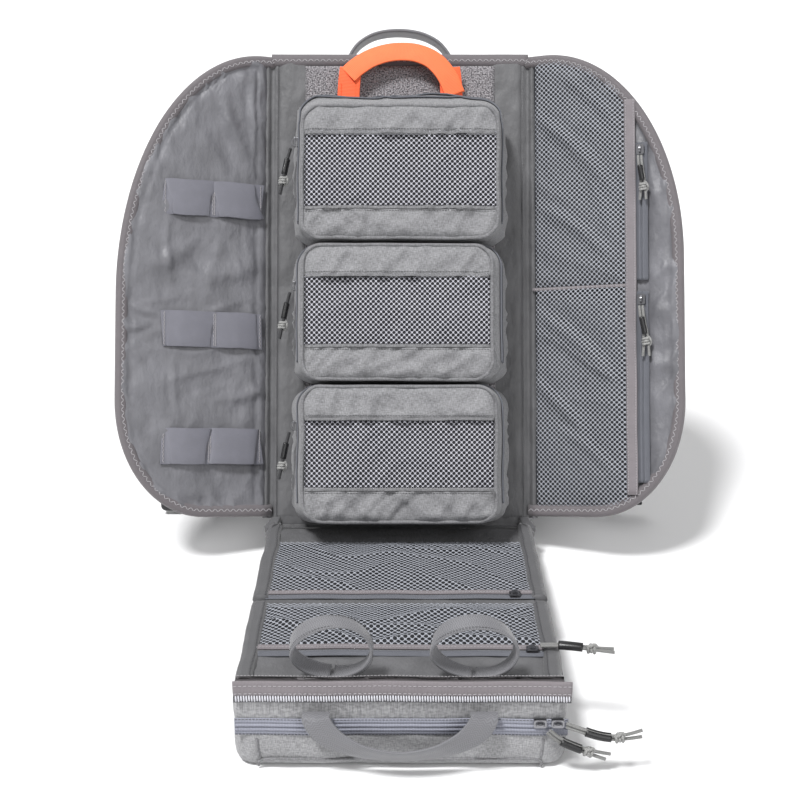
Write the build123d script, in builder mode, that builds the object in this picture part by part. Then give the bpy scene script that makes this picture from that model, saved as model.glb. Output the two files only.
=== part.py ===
"""Trauma backpack standing open on the ground.

A leaning back panel carries three pull-off pouches in front and the harness behind. Two side
wings are spread left and right, and the bottom gusset and the front panel lie folded down
towards the viewer, held up at their near end by the admin pocket under them.

X is to the viewer's right, Y goes away from the viewer and Z is up, in millimetres.
"""

from build123d import *
import os
from math import cos, pi, radians, sin, tan

os.makedirs("parts", exist_ok=True)

# ---------------------------------------------------------------- driving dimensions
lean = 27.6  # of the back panel, away from the viewer, degrees from vertical
front_slope = 7.0  # of the front panel, rising towards the viewer, degrees
wing_open = 22.0  # of a wing from the back panel's plane, towards the viewer, degrees
fold_height = 35.5  # of the fold between back panel and gusset, above the ground
fold_y = 42.0  # of the same fold, which centres the whole object on the origin
gap = 0.4  # between pieces that move against each other

panel_width = 274.0
panel_height = 511.0
panel_thickness = 14.0
sheet_thickness = 2.0
field_width = 210.0
field_thickness = 1.2

wing_width = 168.0
wing_thickness = 7.0
wing_hinge_x = 139.5
wing_inner = 4.0  # from the hinge to the wing's inner edge
wing_low = 10.0  # wing's bottom edge above the fold
wing_top = 510.0
low_corner = (95.0, 122.0)  # radii of a wing's lower outer corner

flap_width = 280.0
flap_thickness = 6.0
gusset_length = 194.0
flap_length = 365.0
rim_width = 12.0
rim_height = 5.0
rim_gap = 6.0  # from the gusset's and the front panel's shared fold to their side rims
mesh_thickness = 3.0

pouch_width = 214.0
pouch_height = 143.0
pouch_pitch = 146.5
pouch_low = 4.0  # lowest pouch's bottom edge above the fold
pouch_back = 1.8  # pouch's back above the back panel
pouch_split = 58.0  # depth of the zipper that parts pouch and lid
pouch_front = 80.0
pouch_corner = 20.0
cloth = 2.5  # wall of a sewn bag

pocket_far = 196.5  # admin pocket's far wall, towards the viewer from the fold
pocket_near = 362.0
pocket_width = 284.0
pocket_split = 44.0  # height of the admin pocket's zipper
pocket_corner = 14.0

webbing = 25.0
webbing_thickness = 2.5
cord_diameter = 3.0
strand_gap = 3.4  # between the middles of a pull's two strands

# ---------------------------------------------------------------- reference planes
fold = (0, fold_y, fold_height)
back_plane = Plane(
    origin=fold,
    x_dir=(1, 0, 0),
    z_dir=(0, -cos(radians(lean)), sin(radians(lean))),
)  # local y runs up the panel, local z towards the viewer
front_plane = Plane(
    origin=fold,
    x_dir=(1, 0, 0),
    z_dir=(0, sin(radians(front_slope)), cos(radians(front_slope))),
)  # local y runs back towards the fold, so a place on the front panel is (x, -distance)


def wing_plane(side):
    """The front face of a wing. side is -1 on the left and 1 on the right."""
    turn = radians(wing_open)
    across = back_plane.x_dir * cos(turn) + back_plane.z_dir * (side * sin(turn))
    facing = back_plane.z_dir * cos(turn) - back_plane.x_dir * (side * sin(turn))
    return Plane(
        origin=back_plane.from_local_coords((side * wing_hinge_x, 0, 0)),
        x_dir=across,
        z_dir=facing,
    )


left_plane = wing_plane(-1)
right_plane = wing_plane(1)
ground = Plane(origin=(0, fold_y, 0), x_dir=(1, 0, 0), z_dir=(0, 0, 1))
middle_plane = Plane(origin=(0, fold_y, 0), x_dir=(0, 1, 0), z_dir=(1, 0, 0))
wall_plane = Plane(
    origin=(0, fold_y - pocket_near, 0), x_dir=(1, 0, 0), z_dir=(0, -1, 0)
)  # the admin pocket's near wall, local y up
side_plane = Plane(
    origin=fold, x_dir=back_plane.z_dir, z_dir=-back_plane.x_dir
)  # local x towards the viewer from the back panel, local y up it, local z out to the left


def save(piece, name):
    """Labels a finished piece and writes it as its own file."""
    piece.part.label = name
    export_step(piece.part, f"parts/{name}.step")


# ---------------------------------------------------------------- back panel and its layers
with BuildPart() as back_panel:
    with BuildSketch(back_plane):
        with Locations((0, 2 + panel_height / 2)):
            RectangleRounded(panel_width, panel_height, 6)
    extrude(amount=-panel_thickness)
save(back_panel, "back_panel")

with BuildPart() as loop_field:
    with BuildSketch(back_plane):
        with Locations((0, 6 + (panel_height - 10) / 2)):
            Rectangle(field_width, panel_height - 10)
    extrude(amount=field_thickness)
save(loop_field, "loop_field")

with BuildPart() as frame_sheet:
    with BuildSketch(back_plane.offset(-panel_thickness)):
        with Locations((0, panel_height / 2)):
            RectangleRounded(panel_width - 30, panel_height - 30, 25)
    extrude(amount=-sheet_thickness)
save(frame_sheet, "frame_sheet")

pad_start = panel_thickness + sheet_thickness
back_pad_depth = 17.0
lumbar_depth = 28.0
lumbar_width = 160.0
lumbar_low = -17.0
lumbar_top = 110.0

with BuildPart() as back_pads:
    with BuildSketch(back_plane.offset(-pad_start)):
        with Locations((-62, 295), (62, 295)):
            RectangleRounded(88, 330, 24)
    extrude(amount=-back_pad_depth)
    fillet(back_pads.faces().sort_by(Axis.Y)[-1].edges(), 6)
save(back_pads, "back_pads")

with BuildPart() as lumbar_pad:
    with BuildSketch(back_plane.offset(-pad_start)):
        with Locations((0, (lumbar_low + lumbar_top) / 2)):
            RectangleRounded(lumbar_width, lumbar_top - lumbar_low, 22)
    extrude(amount=-lumbar_depth)
    with BuildSketch(ground):
        Rectangle(2 * lumbar_width, 2 * lumbar_width)
    extrude(amount=-lumbar_width, mode=Mode.SUBTRACT)
save(lumbar_pad, "lumbar_pad")

# ---------------------------------------------------------------- shoulder harness
strap_depth = 14.0
strap_start = pad_start + back_pad_depth + gap

# Each strap leaves the top seam, bows outwards and ends above the lumbar pad.
with BuildPart() as shoulder_straps:
    for side in (-1, 1):
        with BuildSketch(back_plane.offset(-strap_start)):
            with BuildLine():
                inner = Spline(
                    (side * 30, 470), (side * 42, 380), (side * 58, 280), (side * 70, 165)
                )
                outer = Spline(
                    (side * 92, 470), (side * 106, 380), (side * 118, 280), (side * 110, 165)
                )
                Line(inner @ 0, outer @ 0)
                Line(inner @ 1, outer @ 1)
            make_face()
        extrude(amount=-strap_depth)
save(shoulder_straps, "shoulder_straps")

lock_y = 151.0  # ladder locks, just below the strap ends
lock_height = 26.0
with BuildPart() as ladder_locks:
    with BuildSketch(back_plane.offset(-strap_start - 3)):
        with Locations((-91, lock_y), (91, lock_y)):
            RectangleRounded(34, lock_height, 4)
        with Locations((-91, lock_y - 6), (91, lock_y - 6)):
            Rectangle(26, 3.5, mode=Mode.SUBTRACT)
        with Locations((-91, lock_y + 6), (91, lock_y + 6)):
            Rectangle(26, 3.5, mode=Mode.SUBTRACT)
    extrude(amount=-6)
save(ladder_locks, "ladder_locks")

with BuildPart() as strap_webbing:
    for side in (-1, 1):
        top = back_plane.from_local_coords((side * 92, lock_y - 17.5, -strap_start - 5))
        bottom = back_plane.from_local_coords((side * 116, 64, -pad_start - 3))
        run = bottom - top
        facing = run.cross(Vector(side, 0, 0)).normalized()
        with BuildSketch(Plane(origin=(top + bottom) / 2, x_dir=run, z_dir=facing)):
            Rectangle(run.length, webbing)
        extrude(amount=webbing_thickness / 2, both=True)
save(strap_webbing, "strap_webbing")

sternum_y = 352.0
sternum_start = strap_start + strap_depth
socket_half = 17.0


def make_sternum_webbing(side, reach):
    """Half of the chest strap, lying on its shoulder strap and reaching to the buckle."""
    with BuildPart() as half:
        with BuildSketch(back_plane.offset(-sternum_start - gap)):
            with Locations((side * (reach + 84) / 2, sternum_y)):
                Rectangle(84 - reach, 20)
        extrude(amount=-2)
    return half


sternum_webbing_left = make_sternum_webbing(-1, socket_half + 1)
save(sternum_webbing_left, "sternum_webbing_left")
sternum_webbing_right = make_sternum_webbing(1, 33)
save(sternum_webbing_right, "sternum_webbing_right")

buckle_plane = back_plane.offset(-sternum_start + 1)
with BuildPart() as sternum_socket:
    with BuildSketch(buckle_plane):
        with Locations((0, sternum_y)):
            RectangleRounded(2 * socket_half, 28, 5)
    extrude(amount=-9)
    with BuildSketch(buckle_plane.offset(-2)):
        with Locations((6, sternum_y)):
            Rectangle(30, 20)
    extrude(amount=-5, mode=Mode.SUBTRACT)
save(sternum_socket, "sternum_socket")

with BuildPart() as sternum_plug:
    with BuildSketch(buckle_plane.offset(-2 - gap)):
        with Locations((24.9, sternum_y)):
            RectangleRounded(14.5, 27, 3)
        with Locations((8, sternum_y - 7), (8, sternum_y + 7)):
            Rectangle(24, 4)
    extrude(amount=-5 + 2 * gap)
save(sternum_plug, "sternum_plug")

# ---------------------------------------------------------------- hip belt
belt_height = 88.0
belt_thickness = 14.0
belt_root = (84.0, 61.0)
belt_mid = (128.0, 88.0)
belt_end = (150.0, 142.0)


def make_hip_belt(side):
    """A padded belt wing that curves back from the lumbar pad and stands on the ground."""
    half = belt_thickness / 2
    with BuildPart() as belt:
        with BuildSketch(ground):
            with BuildLine():
                near = ThreePointArc(
                    (side * (belt_root[0] + 3), belt_root[1] - half),
                    (side * (belt_mid[0] + half), belt_mid[1] - half),
                    (side * (belt_end[0] + half), belt_end[1]),
                )
                far = ThreePointArc(
                    (side * (belt_root[0] - 3), belt_root[1] + half),
                    (side * (belt_mid[0] - half), belt_mid[1] + half),
                    (side * (belt_end[0] - half), belt_end[1]),
                )
                Line(near @ 0, far @ 0)
                Line(near @ 1, far @ 1)
            make_face()
        extrude(amount=belt_height)
    return belt


hip_belt_left = make_hip_belt(-1)
save(hip_belt_left, "hip_belt_left")
hip_belt_right = make_hip_belt(1)
save(hip_belt_right, "hip_belt_right")

belt_webbing_low = 10.0


def make_hip_webbing(side):
    """Belt webbing that leaves the middle of the belt wing and runs out to its buckle half."""
    with BuildPart() as strap:
        with BuildSketch(ground.offset(belt_webbing_low)):
            with BuildLine():
                near = ThreePointArc(
                    (side * 158.5, 122.0), (side * 196.0, 110.0), (side * 228.0, 92.0)
                )
                far = ThreePointArc(
                    (side * 158.5, 124.5), (side * 197.0, 112.5), (side * 229.2, 94.2)
                )
                Line(near @ 0, far @ 0)
                Line(near @ 1, far @ 1)
            make_face()
        extrude(amount=webbing)
    return strap


hip_webbing_left = make_hip_webbing(-1)
save(hip_webbing_left, "hip_webbing_left")
hip_webbing_right = make_hip_webbing(1)
save(hip_webbing_right, "hip_webbing_right")


def buckle_end_plane(side):
    """Upright plane at the end of the belt webbing, local x running outwards."""
    return Plane(
        origin=(side * 229.0, fold_y + 93.0, belt_webbing_low + webbing / 2),
        x_dir=(side, 0, 0),
        z_dir=(0, -1, 0),
    )


with BuildPart() as hip_socket:
    with BuildSketch(buckle_end_plane(-1)):
        with Locations((22, 0)):
            RectangleRounded(40, 34, 6)
    extrude(amount=6, both=True)
    with BuildSketch(buckle_end_plane(-1)):
        with Locations((32, 0)):
            Rectangle(30, 24)
    extrude(amount=3.5, both=True, mode=Mode.SUBTRACT)
save(hip_socket, "hip_socket")

with BuildPart() as hip_plug:
    with BuildSketch(buckle_end_plane(1)):
        with Locations((11, 0)):
            RectangleRounded(18, 33, 4)
        with Locations((32, -9), (32, 9)):
            RectangleRounded(28, 4.5, 2)
        with Locations((30, 0)):
            Rectangle(24, 3)
    extrude(amount=3, both=True)
save(hip_plug, "hip_plug")

# ---------------------------------------------------------------- top carry handle
carry_start = pad_start + 2
with BuildPart() as handle_anchors:
    with BuildSketch(back_plane.offset(-pad_start)):
        with Locations((-60, 503.5), (60, 503.5)):
            Rectangle(webbing, 19)
    extrude(amount=-3)
save(handle_anchors, "handle_anchors")

with BuildPart() as carry_handle:
    with BuildSketch(back_plane.offset(-carry_start)):
        with BuildLine():
            ThreePointArc((-62, 514), (0, 549), (62, 514))
            ThreePointArc((-58, 514), (0, 545), (58, 514))
            Line((-62, 514), (-58, 514))
            Line((62, 514), (58, 514))
        make_face()
    extrude(amount=-webbing)
save(carry_handle, "carry_handle")

# ---------------------------------------------------------------- wings


def make_wing(side, plane, top_radii):
    """A padded wing: straight beside its hinge, rounded at both outer corners."""
    low_x, low_y = low_corner
    top_x, top_y = top_radii
    with BuildPart() as wing:
        with BuildSketch(plane):
            with BuildLine():
                Line((side * wing_inner, wing_low), (side * (wing_width - low_x), wing_low))
                EllipticalCenterArc(
                    (side * (wing_width - low_x), wing_low + low_y),
                    low_x,
                    low_y,
                    start_angle=-90 if side > 0 else 180,
                    arc_size=90,
                )
                Line((side * wing_width, wing_low + low_y), (side * wing_width, wing_top - top_y))
                EllipticalCenterArc(
                    (side * (wing_width - top_x), wing_top - top_y),
                    top_x,
                    top_y,
                    start_angle=0 if side > 0 else 90,
                    arc_size=90,
                )
                Line((side * (wing_width - top_x), wing_top), (side * wing_inner, wing_top))
                Line((side * wing_inner, wing_top), (side * wing_inner, wing_low))
            make_face()
        extrude(amount=-wing_thickness)
    return wing


left_wing = make_wing(-1, left_plane, (160.0, 268.0))
save(left_wing, "left_wing")
right_wing = make_wing(1, right_plane, (150.0, 226.0))
save(right_wing, "right_wing")

loop_heights = (348.0, 208.0, 84.5)  # middles of the three elastic strips
loop_height = 38.0
loop_inner = 12.0
loop_outer = 121.0
loop_stitch = 8.0  # sewn length at each end and in the middle
loop_rise = 9.0
band = 1.6  # thickness of the elastic

with BuildPart() as left_loops:
    for height in loop_heights:
        with BuildSketch(left_plane):
            with Locations((-(loop_inner + loop_outer) / 2, height)):
                Rectangle(loop_outer - loop_inner, loop_height)
        extrude(amount=loop_rise)
        tunnel = (loop_outer - loop_inner - 3 * loop_stitch) / 2
        with BuildSketch(left_plane):
            with Locations(
                (-(loop_inner + loop_stitch + tunnel / 2), height),
                (-(loop_outer - loop_stitch - tunnel / 2), height),
            ):
                Rectangle(tunnel, loop_height)
        extrude(amount=loop_rise - band, mode=Mode.SUBTRACT)
        with BuildSketch(left_plane.offset(band)):
            with Locations(
                (-(loop_inner + loop_stitch / 2 - 0.5), height),
                (-(loop_inner + loop_outer) / 2, height),
                (-(loop_outer - loop_stitch / 2 + 0.5), height),
            ):
                Rectangle(loop_stitch - 2, loop_height)
        extrude(amount=loop_rise, mode=Mode.SUBTRACT)
save(left_loops, "left_loops")

mesh_inner = 6.0
mesh_outer = 108.0
mesh_split = 254.0
zipper_x = 125.0
zipper_width = 14.0
zipper_thickness = 2.2

with BuildPart() as right_mesh:
    with BuildSketch(right_plane):
        with BuildLine():
            Polyline(
                (mesh_inner, 23),
                (mesh_outer, 35),
                (mesh_outer, mesh_split - 1),
                (mesh_inner, mesh_split - 1),
                close=True,
            )
        make_face()
        with BuildLine():
            Polyline(
                (mesh_inner, mesh_split + 1),
                (mesh_outer, mesh_split + 1),
                (mesh_outer, 452),
                (58, 499),
                (mesh_inner, 499),
                close=True,
            )
        make_face()
    extrude(amount=mesh_thickness)
save(right_mesh, "right_mesh")

with BuildPart() as right_zippers:
    with BuildSketch(right_plane):
        with Locations((zipper_x, 331)):
            Rectangle(zipper_width, 150)
        with Locations((zipper_x, 146)):
            Rectangle(zipper_width, 204)
    extrude(amount=zipper_thickness)
save(right_zippers, "right_zippers")

# ---------------------------------------------------------------- bottom gusset and front panel


def make_flap(start, end, rim_start, rim_end, end_rim):
    """A stretch of the folded-down front between two distances from the fold, with side rims
    over part of it and a raised rim of width end_rim across its near end."""
    with BuildPart() as flap:
        with BuildSketch(front_plane):
            with Locations((0, -(start + end) / 2)):
                Rectangle(flap_width, end - start)
        extrude(amount=-flap_thickness)
        with BuildSketch(front_plane):
            with Locations(
                (-(flap_width - rim_width) / 2, -(rim_start + rim_end) / 2),
                ((flap_width - rim_width) / 2, -(rim_start + rim_end) / 2),
            ):
                Rectangle(rim_width, rim_end - rim_start)
        extrude(amount=rim_height)
        if end_rim:
            with BuildSketch(front_plane):
                with Locations((0, -(end - end_rim / 2))):
                    Rectangle(flap_width, end_rim)
            extrude(amount=2 * rim_height)
    return flap


bottom_gusset = make_flap(3.0, gusset_length - gap, 22.0, gusset_length - rim_gap, 0)
save(bottom_gusset, "bottom_gusset")

mesh_half = 124.0
gusset_mesh_span = (53.0, 179.0)  # distances from the fold
far_zipper = (180.0, 190.0)
front_mesh_span = (198.0, 289.0)
near_zipper = (293.0, 306.0)

with BuildPart() as gusset_mesh:
    with BuildSketch(front_plane):
        with Locations((0, -sum(gusset_mesh_span) / 2)):
            Rectangle(2 * mesh_half, gusset_mesh_span[1] - gusset_mesh_span[0])
    extrude(amount=mesh_thickness)
save(gusset_mesh, "gusset_mesh")

with BuildPart() as gusset_zipper:
    with BuildSketch(front_plane):
        with Locations((0, -sum(far_zipper) / 2)):
            Rectangle(2 * mesh_half, far_zipper[1] - far_zipper[0])
    extrude(amount=zipper_thickness)
save(gusset_zipper, "gusset_zipper")

front_panel = make_flap(
    gusset_length + gap, flap_length, gusset_length + rim_gap, flap_length, 11.0
)
save(front_panel, "front_panel")

with BuildPart() as front_mesh:
    with BuildSketch(front_plane):
        with Locations((0, -sum(front_mesh_span) / 2)):
            Rectangle(2 * mesh_half, front_mesh_span[1] - front_mesh_span[0])
    extrude(amount=mesh_thickness)
save(front_mesh, "front_mesh")

with BuildPart() as front_zipper:
    with BuildSketch(front_plane):
        with Locations((0, -sum(near_zipper) / 2)):
            Rectangle(2 * mesh_half, near_zipper[1] - near_zipper[0])
    extrude(amount=zipper_thickness)
save(front_zipper, "front_zipper")

ring_radius = 33.0
ring_width = 14.0
ring_distance = 340.0
ring_lean = 20.0  # the rings lean towards the near wall
ring_lift = ring_width * sin(radians(ring_lean)) + gap
with BuildPart() as ring_loops:
    ring_plane = Plane(
        origin=front_plane.from_local_coords((0, -(ring_distance - ring_width / 2), ring_lift)),
        x_dir=(1, 0, 0),
        z_dir=-front_plane.y_dir,
    ).rotated((ring_lean, 0, 0))
    with BuildSketch(ring_plane):
        with Locations((-58, ring_radius), (63, ring_radius)):
            Circle(ring_radius)
            Circle(ring_radius - webbing_thickness, mode=Mode.SUBTRACT)
    extrude(amount=ring_width)
save(ring_loops, "ring_loops")

# ---------------------------------------------------------------- admin pocket under the front panel


def under_flap(distance):
    """Height of the front panel's underside, at a level distance from the fold."""
    turn = radians(front_slope)
    return fold_height + distance * tan(turn) - flap_thickness / cos(turn)


with BuildPart() as admin_frame:
    with BuildSketch(middle_plane):
        with BuildLine():
            Polyline(
                (-pocket_far, pocket_split + gap),
                (-pocket_near, pocket_split + gap),
                (-pocket_near, under_flap(pocket_near)),
                (-pocket_far, under_flap(pocket_far)),
                close=True,
            )
        make_face()
    extrude(amount=pocket_width / 2, both=True)
    with BuildSketch(ground.offset(pocket_split)):
        with Locations((0, -(pocket_far + pocket_near) / 2)):
            Rectangle(pocket_width - 2 * cloth, pocket_near - pocket_far - 2 * cloth)
    extrude(amount=60, mode=Mode.SUBTRACT)
save(admin_frame, "admin_frame")

with BuildPart() as admin_cover:
    with BuildSketch(ground):
        with Locations((0, -(pocket_far + pocket_near) / 2)):
            RectangleRounded(pocket_width, pocket_near - pocket_far, pocket_corner)
    extrude(amount=pocket_split)
    fillet(admin_cover.faces().sort_by(Axis.Z)[0].edges(), 8)
    with BuildSketch(ground.offset(cloth)):
        with Locations((0, -(pocket_far + pocket_near) / 2)):
            RectangleRounded(
                pocket_width - 2 * cloth, pocket_near - pocket_far - 2 * cloth, pocket_corner - cloth
            )
    extrude(amount=pocket_split, mode=Mode.SUBTRACT)
    fillet(admin_cover.faces(Select.LAST).sort_by(Axis.Z)[0].edges(), 5)
save(admin_cover, "admin_cover")

admin_zipper_z = 50.0
with BuildPart() as wall_zippers:
    with BuildSketch(wall_plane):
        with Locations((0, under_flap(pocket_near) - 5.5)):
            Rectangle(flap_width - 6, 10)
        with Locations((0, admin_zipper_z)):
            Rectangle(pocket_width - 4, 9)
    extrude(amount=zipper_thickness)
save(wall_zippers, "wall_zippers")

handle_off = 12.0  # how far the drooping handle stands off the near wall
handle_root_z = 60.5
root_off = zipper_thickness + gap  # where its two roots are hinged
with BuildPart() as grab_handle:
    with BuildSketch(wall_plane.offset(handle_off)):
        with BuildLine():
            low_edge = ThreePointArc((-86, handle_root_z), (0, 8), (86, handle_root_z))
            high_edge = ThreePointArc((-58, handle_root_z), (0, 33), (58, handle_root_z))
            Line(low_edge @ 0, high_edge @ 0)
            Line(low_edge @ 1, high_edge @ 1)
        make_face()
    extrude(amount=webbing_thickness)
    with BuildSketch(wall_plane.offset(root_off)):
        with Locations((-71, handle_root_z - 1.8), (71, handle_root_z - 1.8)):
            Rectangle(24, 3.6)
    extrude(amount=handle_off - root_off + webbing_thickness / 2)
save(grab_handle, "grab_handle")

# ---------------------------------------------------------------- pouches
pouch_middles = [pouch_low + pouch_height / 2 + n * pouch_pitch for n in (2, 1, 0)]
pouch_names = ("upper", "middle", "lower")


def make_pouch(middle):
    """The back and sides of a pouch, open towards the viewer, with its bottom run forward."""
    with BuildPart() as pouch:
        with BuildSketch(back_plane.offset(pouch_back)):
            with Locations((0, middle)):
                RectangleRounded(pouch_width, pouch_height, pouch_corner)
        extrude(amount=pouch_split - pouch_back)
        with BuildSketch(back_plane.offset(pouch_back + cloth)):
            with Locations((0, middle)):
                RectangleRounded(
                    pouch_width - 2 * cloth, pouch_height - 2 * cloth, pouch_corner - cloth
                )
        extrude(amount=pouch_split, mode=Mode.SUBTRACT)
        with BuildSketch(back_plane.offset(pouch_split)):
            with Locations((0, middle - pouch_height / 2 + cloth / 2)):
                Rectangle(pouch_width - 2 * pouch_corner, cloth)
        extrude(amount=pouch_front - cloth - gap - pouch_split)
    return pouch


def make_lid(middle):
    """A pouch's front with its side and top skirts, which zips onto the pouch."""
    with BuildPart() as lid:
        with BuildSketch(back_plane.offset(pouch_split + gap)):
            with Locations((0, middle)):
                RectangleRounded(pouch_width, pouch_height, pouch_corner)
        extrude(amount=pouch_front - pouch_split - gap)
        with BuildSketch(back_plane.offset(pouch_split + gap)):
            with Locations((0, middle)):
                RectangleRounded(
                    pouch_width - 2 * cloth, pouch_height - 2 * cloth, pouch_corner - cloth
                )
            with Locations((0, middle - pouch_height / 2 + pouch_corner / 2)):
                Rectangle(pouch_width, pouch_corner)
        extrude(amount=pouch_front - pouch_split - gap - cloth, mode=Mode.SUBTRACT)
    return lid


for name, middle in zip(pouch_names, pouch_middles):
    save(make_pouch(middle), f"pouch_{name}")
    save(make_lid(middle), f"pouch_lid_{name}")

pouch_top = pouch_middles[0] + pouch_height / 2
handle_half = 56.0
with BuildPart() as pouch_handle:
    with BuildSketch(back_plane.offset(12)):
        with BuildLine():
            ThreePointArc(
                (-(handle_half + webbing / 2), 470), (0, 524), (handle_half + webbing / 2, 470)
            )
            ThreePointArc(
                (-(handle_half - webbing / 2), 470), (0, 500), (handle_half - webbing / 2, 470)
            )
            for side in (-1, 1):
                Polyline(
                    (side * (handle_half + webbing / 2), 470),
                    (side * (handle_half + webbing / 2), pouch_top + gap),
                    (side * (handle_half - webbing / 2), pouch_top + gap),
                    (side * (handle_half - webbing / 2), 470),
                )
        make_face()
    extrude(amount=webbing_thickness)
save(pouch_handle, "pouch_handle")

# ---------------------------------------------------------------- zipper sliders


def make_slider(plane):
    """A coil-zipper slider: two plates joined by a post, with a bail on top. plane lies on the
    zipper with its local y along the teeth."""
    bail_plane = Plane(
        origin=plane.from_local_coords((-1, 0, 4.2 + gap)), x_dir=plane.y_dir, z_dir=plane.x_dir
    )
    with BuildPart() as slider:
        with BuildSketch(plane.offset(gap)):
            RectangleRounded(8, 11, 2)
        extrude(amount=1.4)
        with BuildSketch(plane.offset(gap)):
            with Locations((0, 3)):
                Rectangle(2.5, 3)
        extrude(amount=3.4)
        with BuildSketch(plane.offset(gap + 2.8)):
            RectangleRounded(8, 11, 2)
        extrude(amount=1.4)
        with BuildSketch(bail_plane):
            Ellipse(4, 3)
            Ellipse(2.6, 1.6, mode=Mode.SUBTRACT)
            with Locations((0, -2.6)):
                Rectangle(10, 5, mode=Mode.SUBTRACT)
        extrude(amount=2)
    return slider


def slider_plane(base, x, y, z, along):
    """A plane on base at (x, y, z), turned so that its local y runs along the teeth."""
    origin = base.from_local_coords((x, y, z))
    if along == "y":
        return Plane(origin=origin, x_dir=base.x_dir, z_dir=base.z_dir)
    return Plane(origin=origin, x_dir=-base.y_dir, z_dir=base.z_dir)


slider_rise = (36.0, 30.0, 30.0)  # of each pouch's slider above the pouch's middle
slider_planes = {
    "right_slider_upper": slider_plane(right_plane, zipper_x, 397, zipper_thickness, "y"),
    "right_slider_lower": slider_plane(right_plane, zipper_x, 238, zipper_thickness, "y"),
    "gusset_slider": slider_plane(front_plane, 110, -sum(far_zipper) / 2, zipper_thickness, "x"),
    "front_slider": slider_plane(front_plane, 117, -sum(near_zipper) / 2, zipper_thickness, "x"),
    "admin_slider_upper": slider_plane(wall_plane, 134, admin_zipper_z, zipper_thickness, "x"),
    "admin_slider_lower": slider_plane(wall_plane, 119, admin_zipper_z, zipper_thickness, "x"),
}
for name, middle, rise in zip(pouch_names, pouch_middles, slider_rise):
    slider_planes[f"pouch_slider_{name}"] = slider_plane(
        side_plane, pouch_split - 5, middle + rise, pouch_width / 2, "y"
    )
for name, plane in slider_planes.items():
    save(make_slider(plane), name)

# ---------------------------------------------------------------- zipper pulls of doubled cord


def pull_radii(points):
    """The largest arc that each corner's two runs allow."""
    radii = []
    for before, corner, after in zip(points, points[1:], points[2:]):
        run_in = corner - before
        run_out = after - corner
        turn = radians(run_in.get_angle(run_out))
        radii.append(0.45 * min(run_in.length, run_out.length) / tan(turn / 2))
    return radii


def make_pull(base, route, aside):
    """Two strands of cord side by side along a route in base's local coordinates, each moved
    half of strand_gap along the local direction aside."""
    with BuildPart() as pull:
        for side in (-0.5, 0.5):
            shift = Vector(*aside) * (side * strand_gap)
            points = [base.from_local_coords(Vector(*p) + shift) for p in route]
            radii = pull_radii(points)
            print("radii", [round(r, 1) for r in radii])
            with BuildLine():
                strand = FilletPolyline(*points, radius=radii)
            with BuildSketch(Plane(origin=strand @ 0, z_dir=strand % 0)):
                Circle(cord_diameter / 2)
            sweep(path=strand)
        print("length", round(strand.length, 1))
        share = pull.part.volume / (2 * strand.length * pi * cord_diameter**2 / 4)
        print("volume over section times length", round(share, 3))
    return pull


across = (1, 0, 0)
upwards = (0, 1, 0)
slanting = (0.6, 0.8, 0)
pull_routes = {
    "right_pull_upper": (
        right_plane,
        [(125, 390, 8.5), (126, 377, 10.5), (129, 361, 10), (128, 343, 8)],
        across,
    ),
    "right_pull_lower": (
        right_plane,
        [(125, 231, 8.5), (126.5, 217, 10.5), (131, 199, 10), (130, 178, 8)],
        across,
    ),
    "front_pull": (
        front_plane,
        [(124, -299.5, 9), (137, -302, 11), (153, -305, 11), (171, -307.5, 9.5), (188, -308.5, 8.5)],
        upwards,
    ),
    "admin_pull_upper": (
        wall_plane,
        [(141, 49.5, 7), (155, 45, 9), (172, 39, 9.5), (189, 37, 8.5), (206, 41, 7)],
        upwards,
    ),
    "admin_pull_lower": (
        wall_plane,
        [(126, 44, 8.5), (135, 36, 10), (148, 29, 9.5), (163, 22, 8.5), (178, 17, 7.5)],
        slanting,
    ),
}
for name, middle, rise in zip(pouch_names, pouch_middles, slider_rise):
    pull_routes[f"pouch_pull_{name}"] = (
        side_plane,
        [
            (53, middle + rise - 7, 115.5),
            (54, middle + rise - 20, 119),
            (56.5, middle + rise - 37, 122),
            (57, middle + rise - 56, 126),
        ],
        across,
    )
for name, (base, route, aside) in pull_routes.items():
    save(make_pull(base, route, aside), name)
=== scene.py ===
"""Looks of the open trauma backpack: fabric shells, mesh, webbing, zippers and cords.

Every piece is made in one of the bag's flat spaces (back panel, wings, folded-down front, near
wall), in millimetres, and is placed in the CAD frame by that space's matrix.
"""
import math
import random

import bmesh
import bpy
import numpy as np
from mathutils import Matrix, Vector, noise

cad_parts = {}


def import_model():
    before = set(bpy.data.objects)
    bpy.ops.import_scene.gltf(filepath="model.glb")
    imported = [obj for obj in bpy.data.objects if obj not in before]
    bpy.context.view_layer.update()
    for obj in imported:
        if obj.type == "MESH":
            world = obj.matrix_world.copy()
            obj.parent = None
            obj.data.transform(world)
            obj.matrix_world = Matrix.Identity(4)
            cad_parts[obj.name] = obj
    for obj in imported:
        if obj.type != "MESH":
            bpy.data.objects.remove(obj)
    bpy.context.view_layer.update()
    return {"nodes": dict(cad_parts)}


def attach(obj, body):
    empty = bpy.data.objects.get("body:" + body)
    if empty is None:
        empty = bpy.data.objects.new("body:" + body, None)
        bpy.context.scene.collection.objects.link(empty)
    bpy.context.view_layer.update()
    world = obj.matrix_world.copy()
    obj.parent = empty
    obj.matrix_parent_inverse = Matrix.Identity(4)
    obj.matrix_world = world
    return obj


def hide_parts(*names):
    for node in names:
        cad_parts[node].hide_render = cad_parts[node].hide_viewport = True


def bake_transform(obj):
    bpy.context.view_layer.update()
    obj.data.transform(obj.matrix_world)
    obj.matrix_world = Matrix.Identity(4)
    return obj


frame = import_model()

MM = 0.001
TAU = 2 * math.pi

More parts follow.
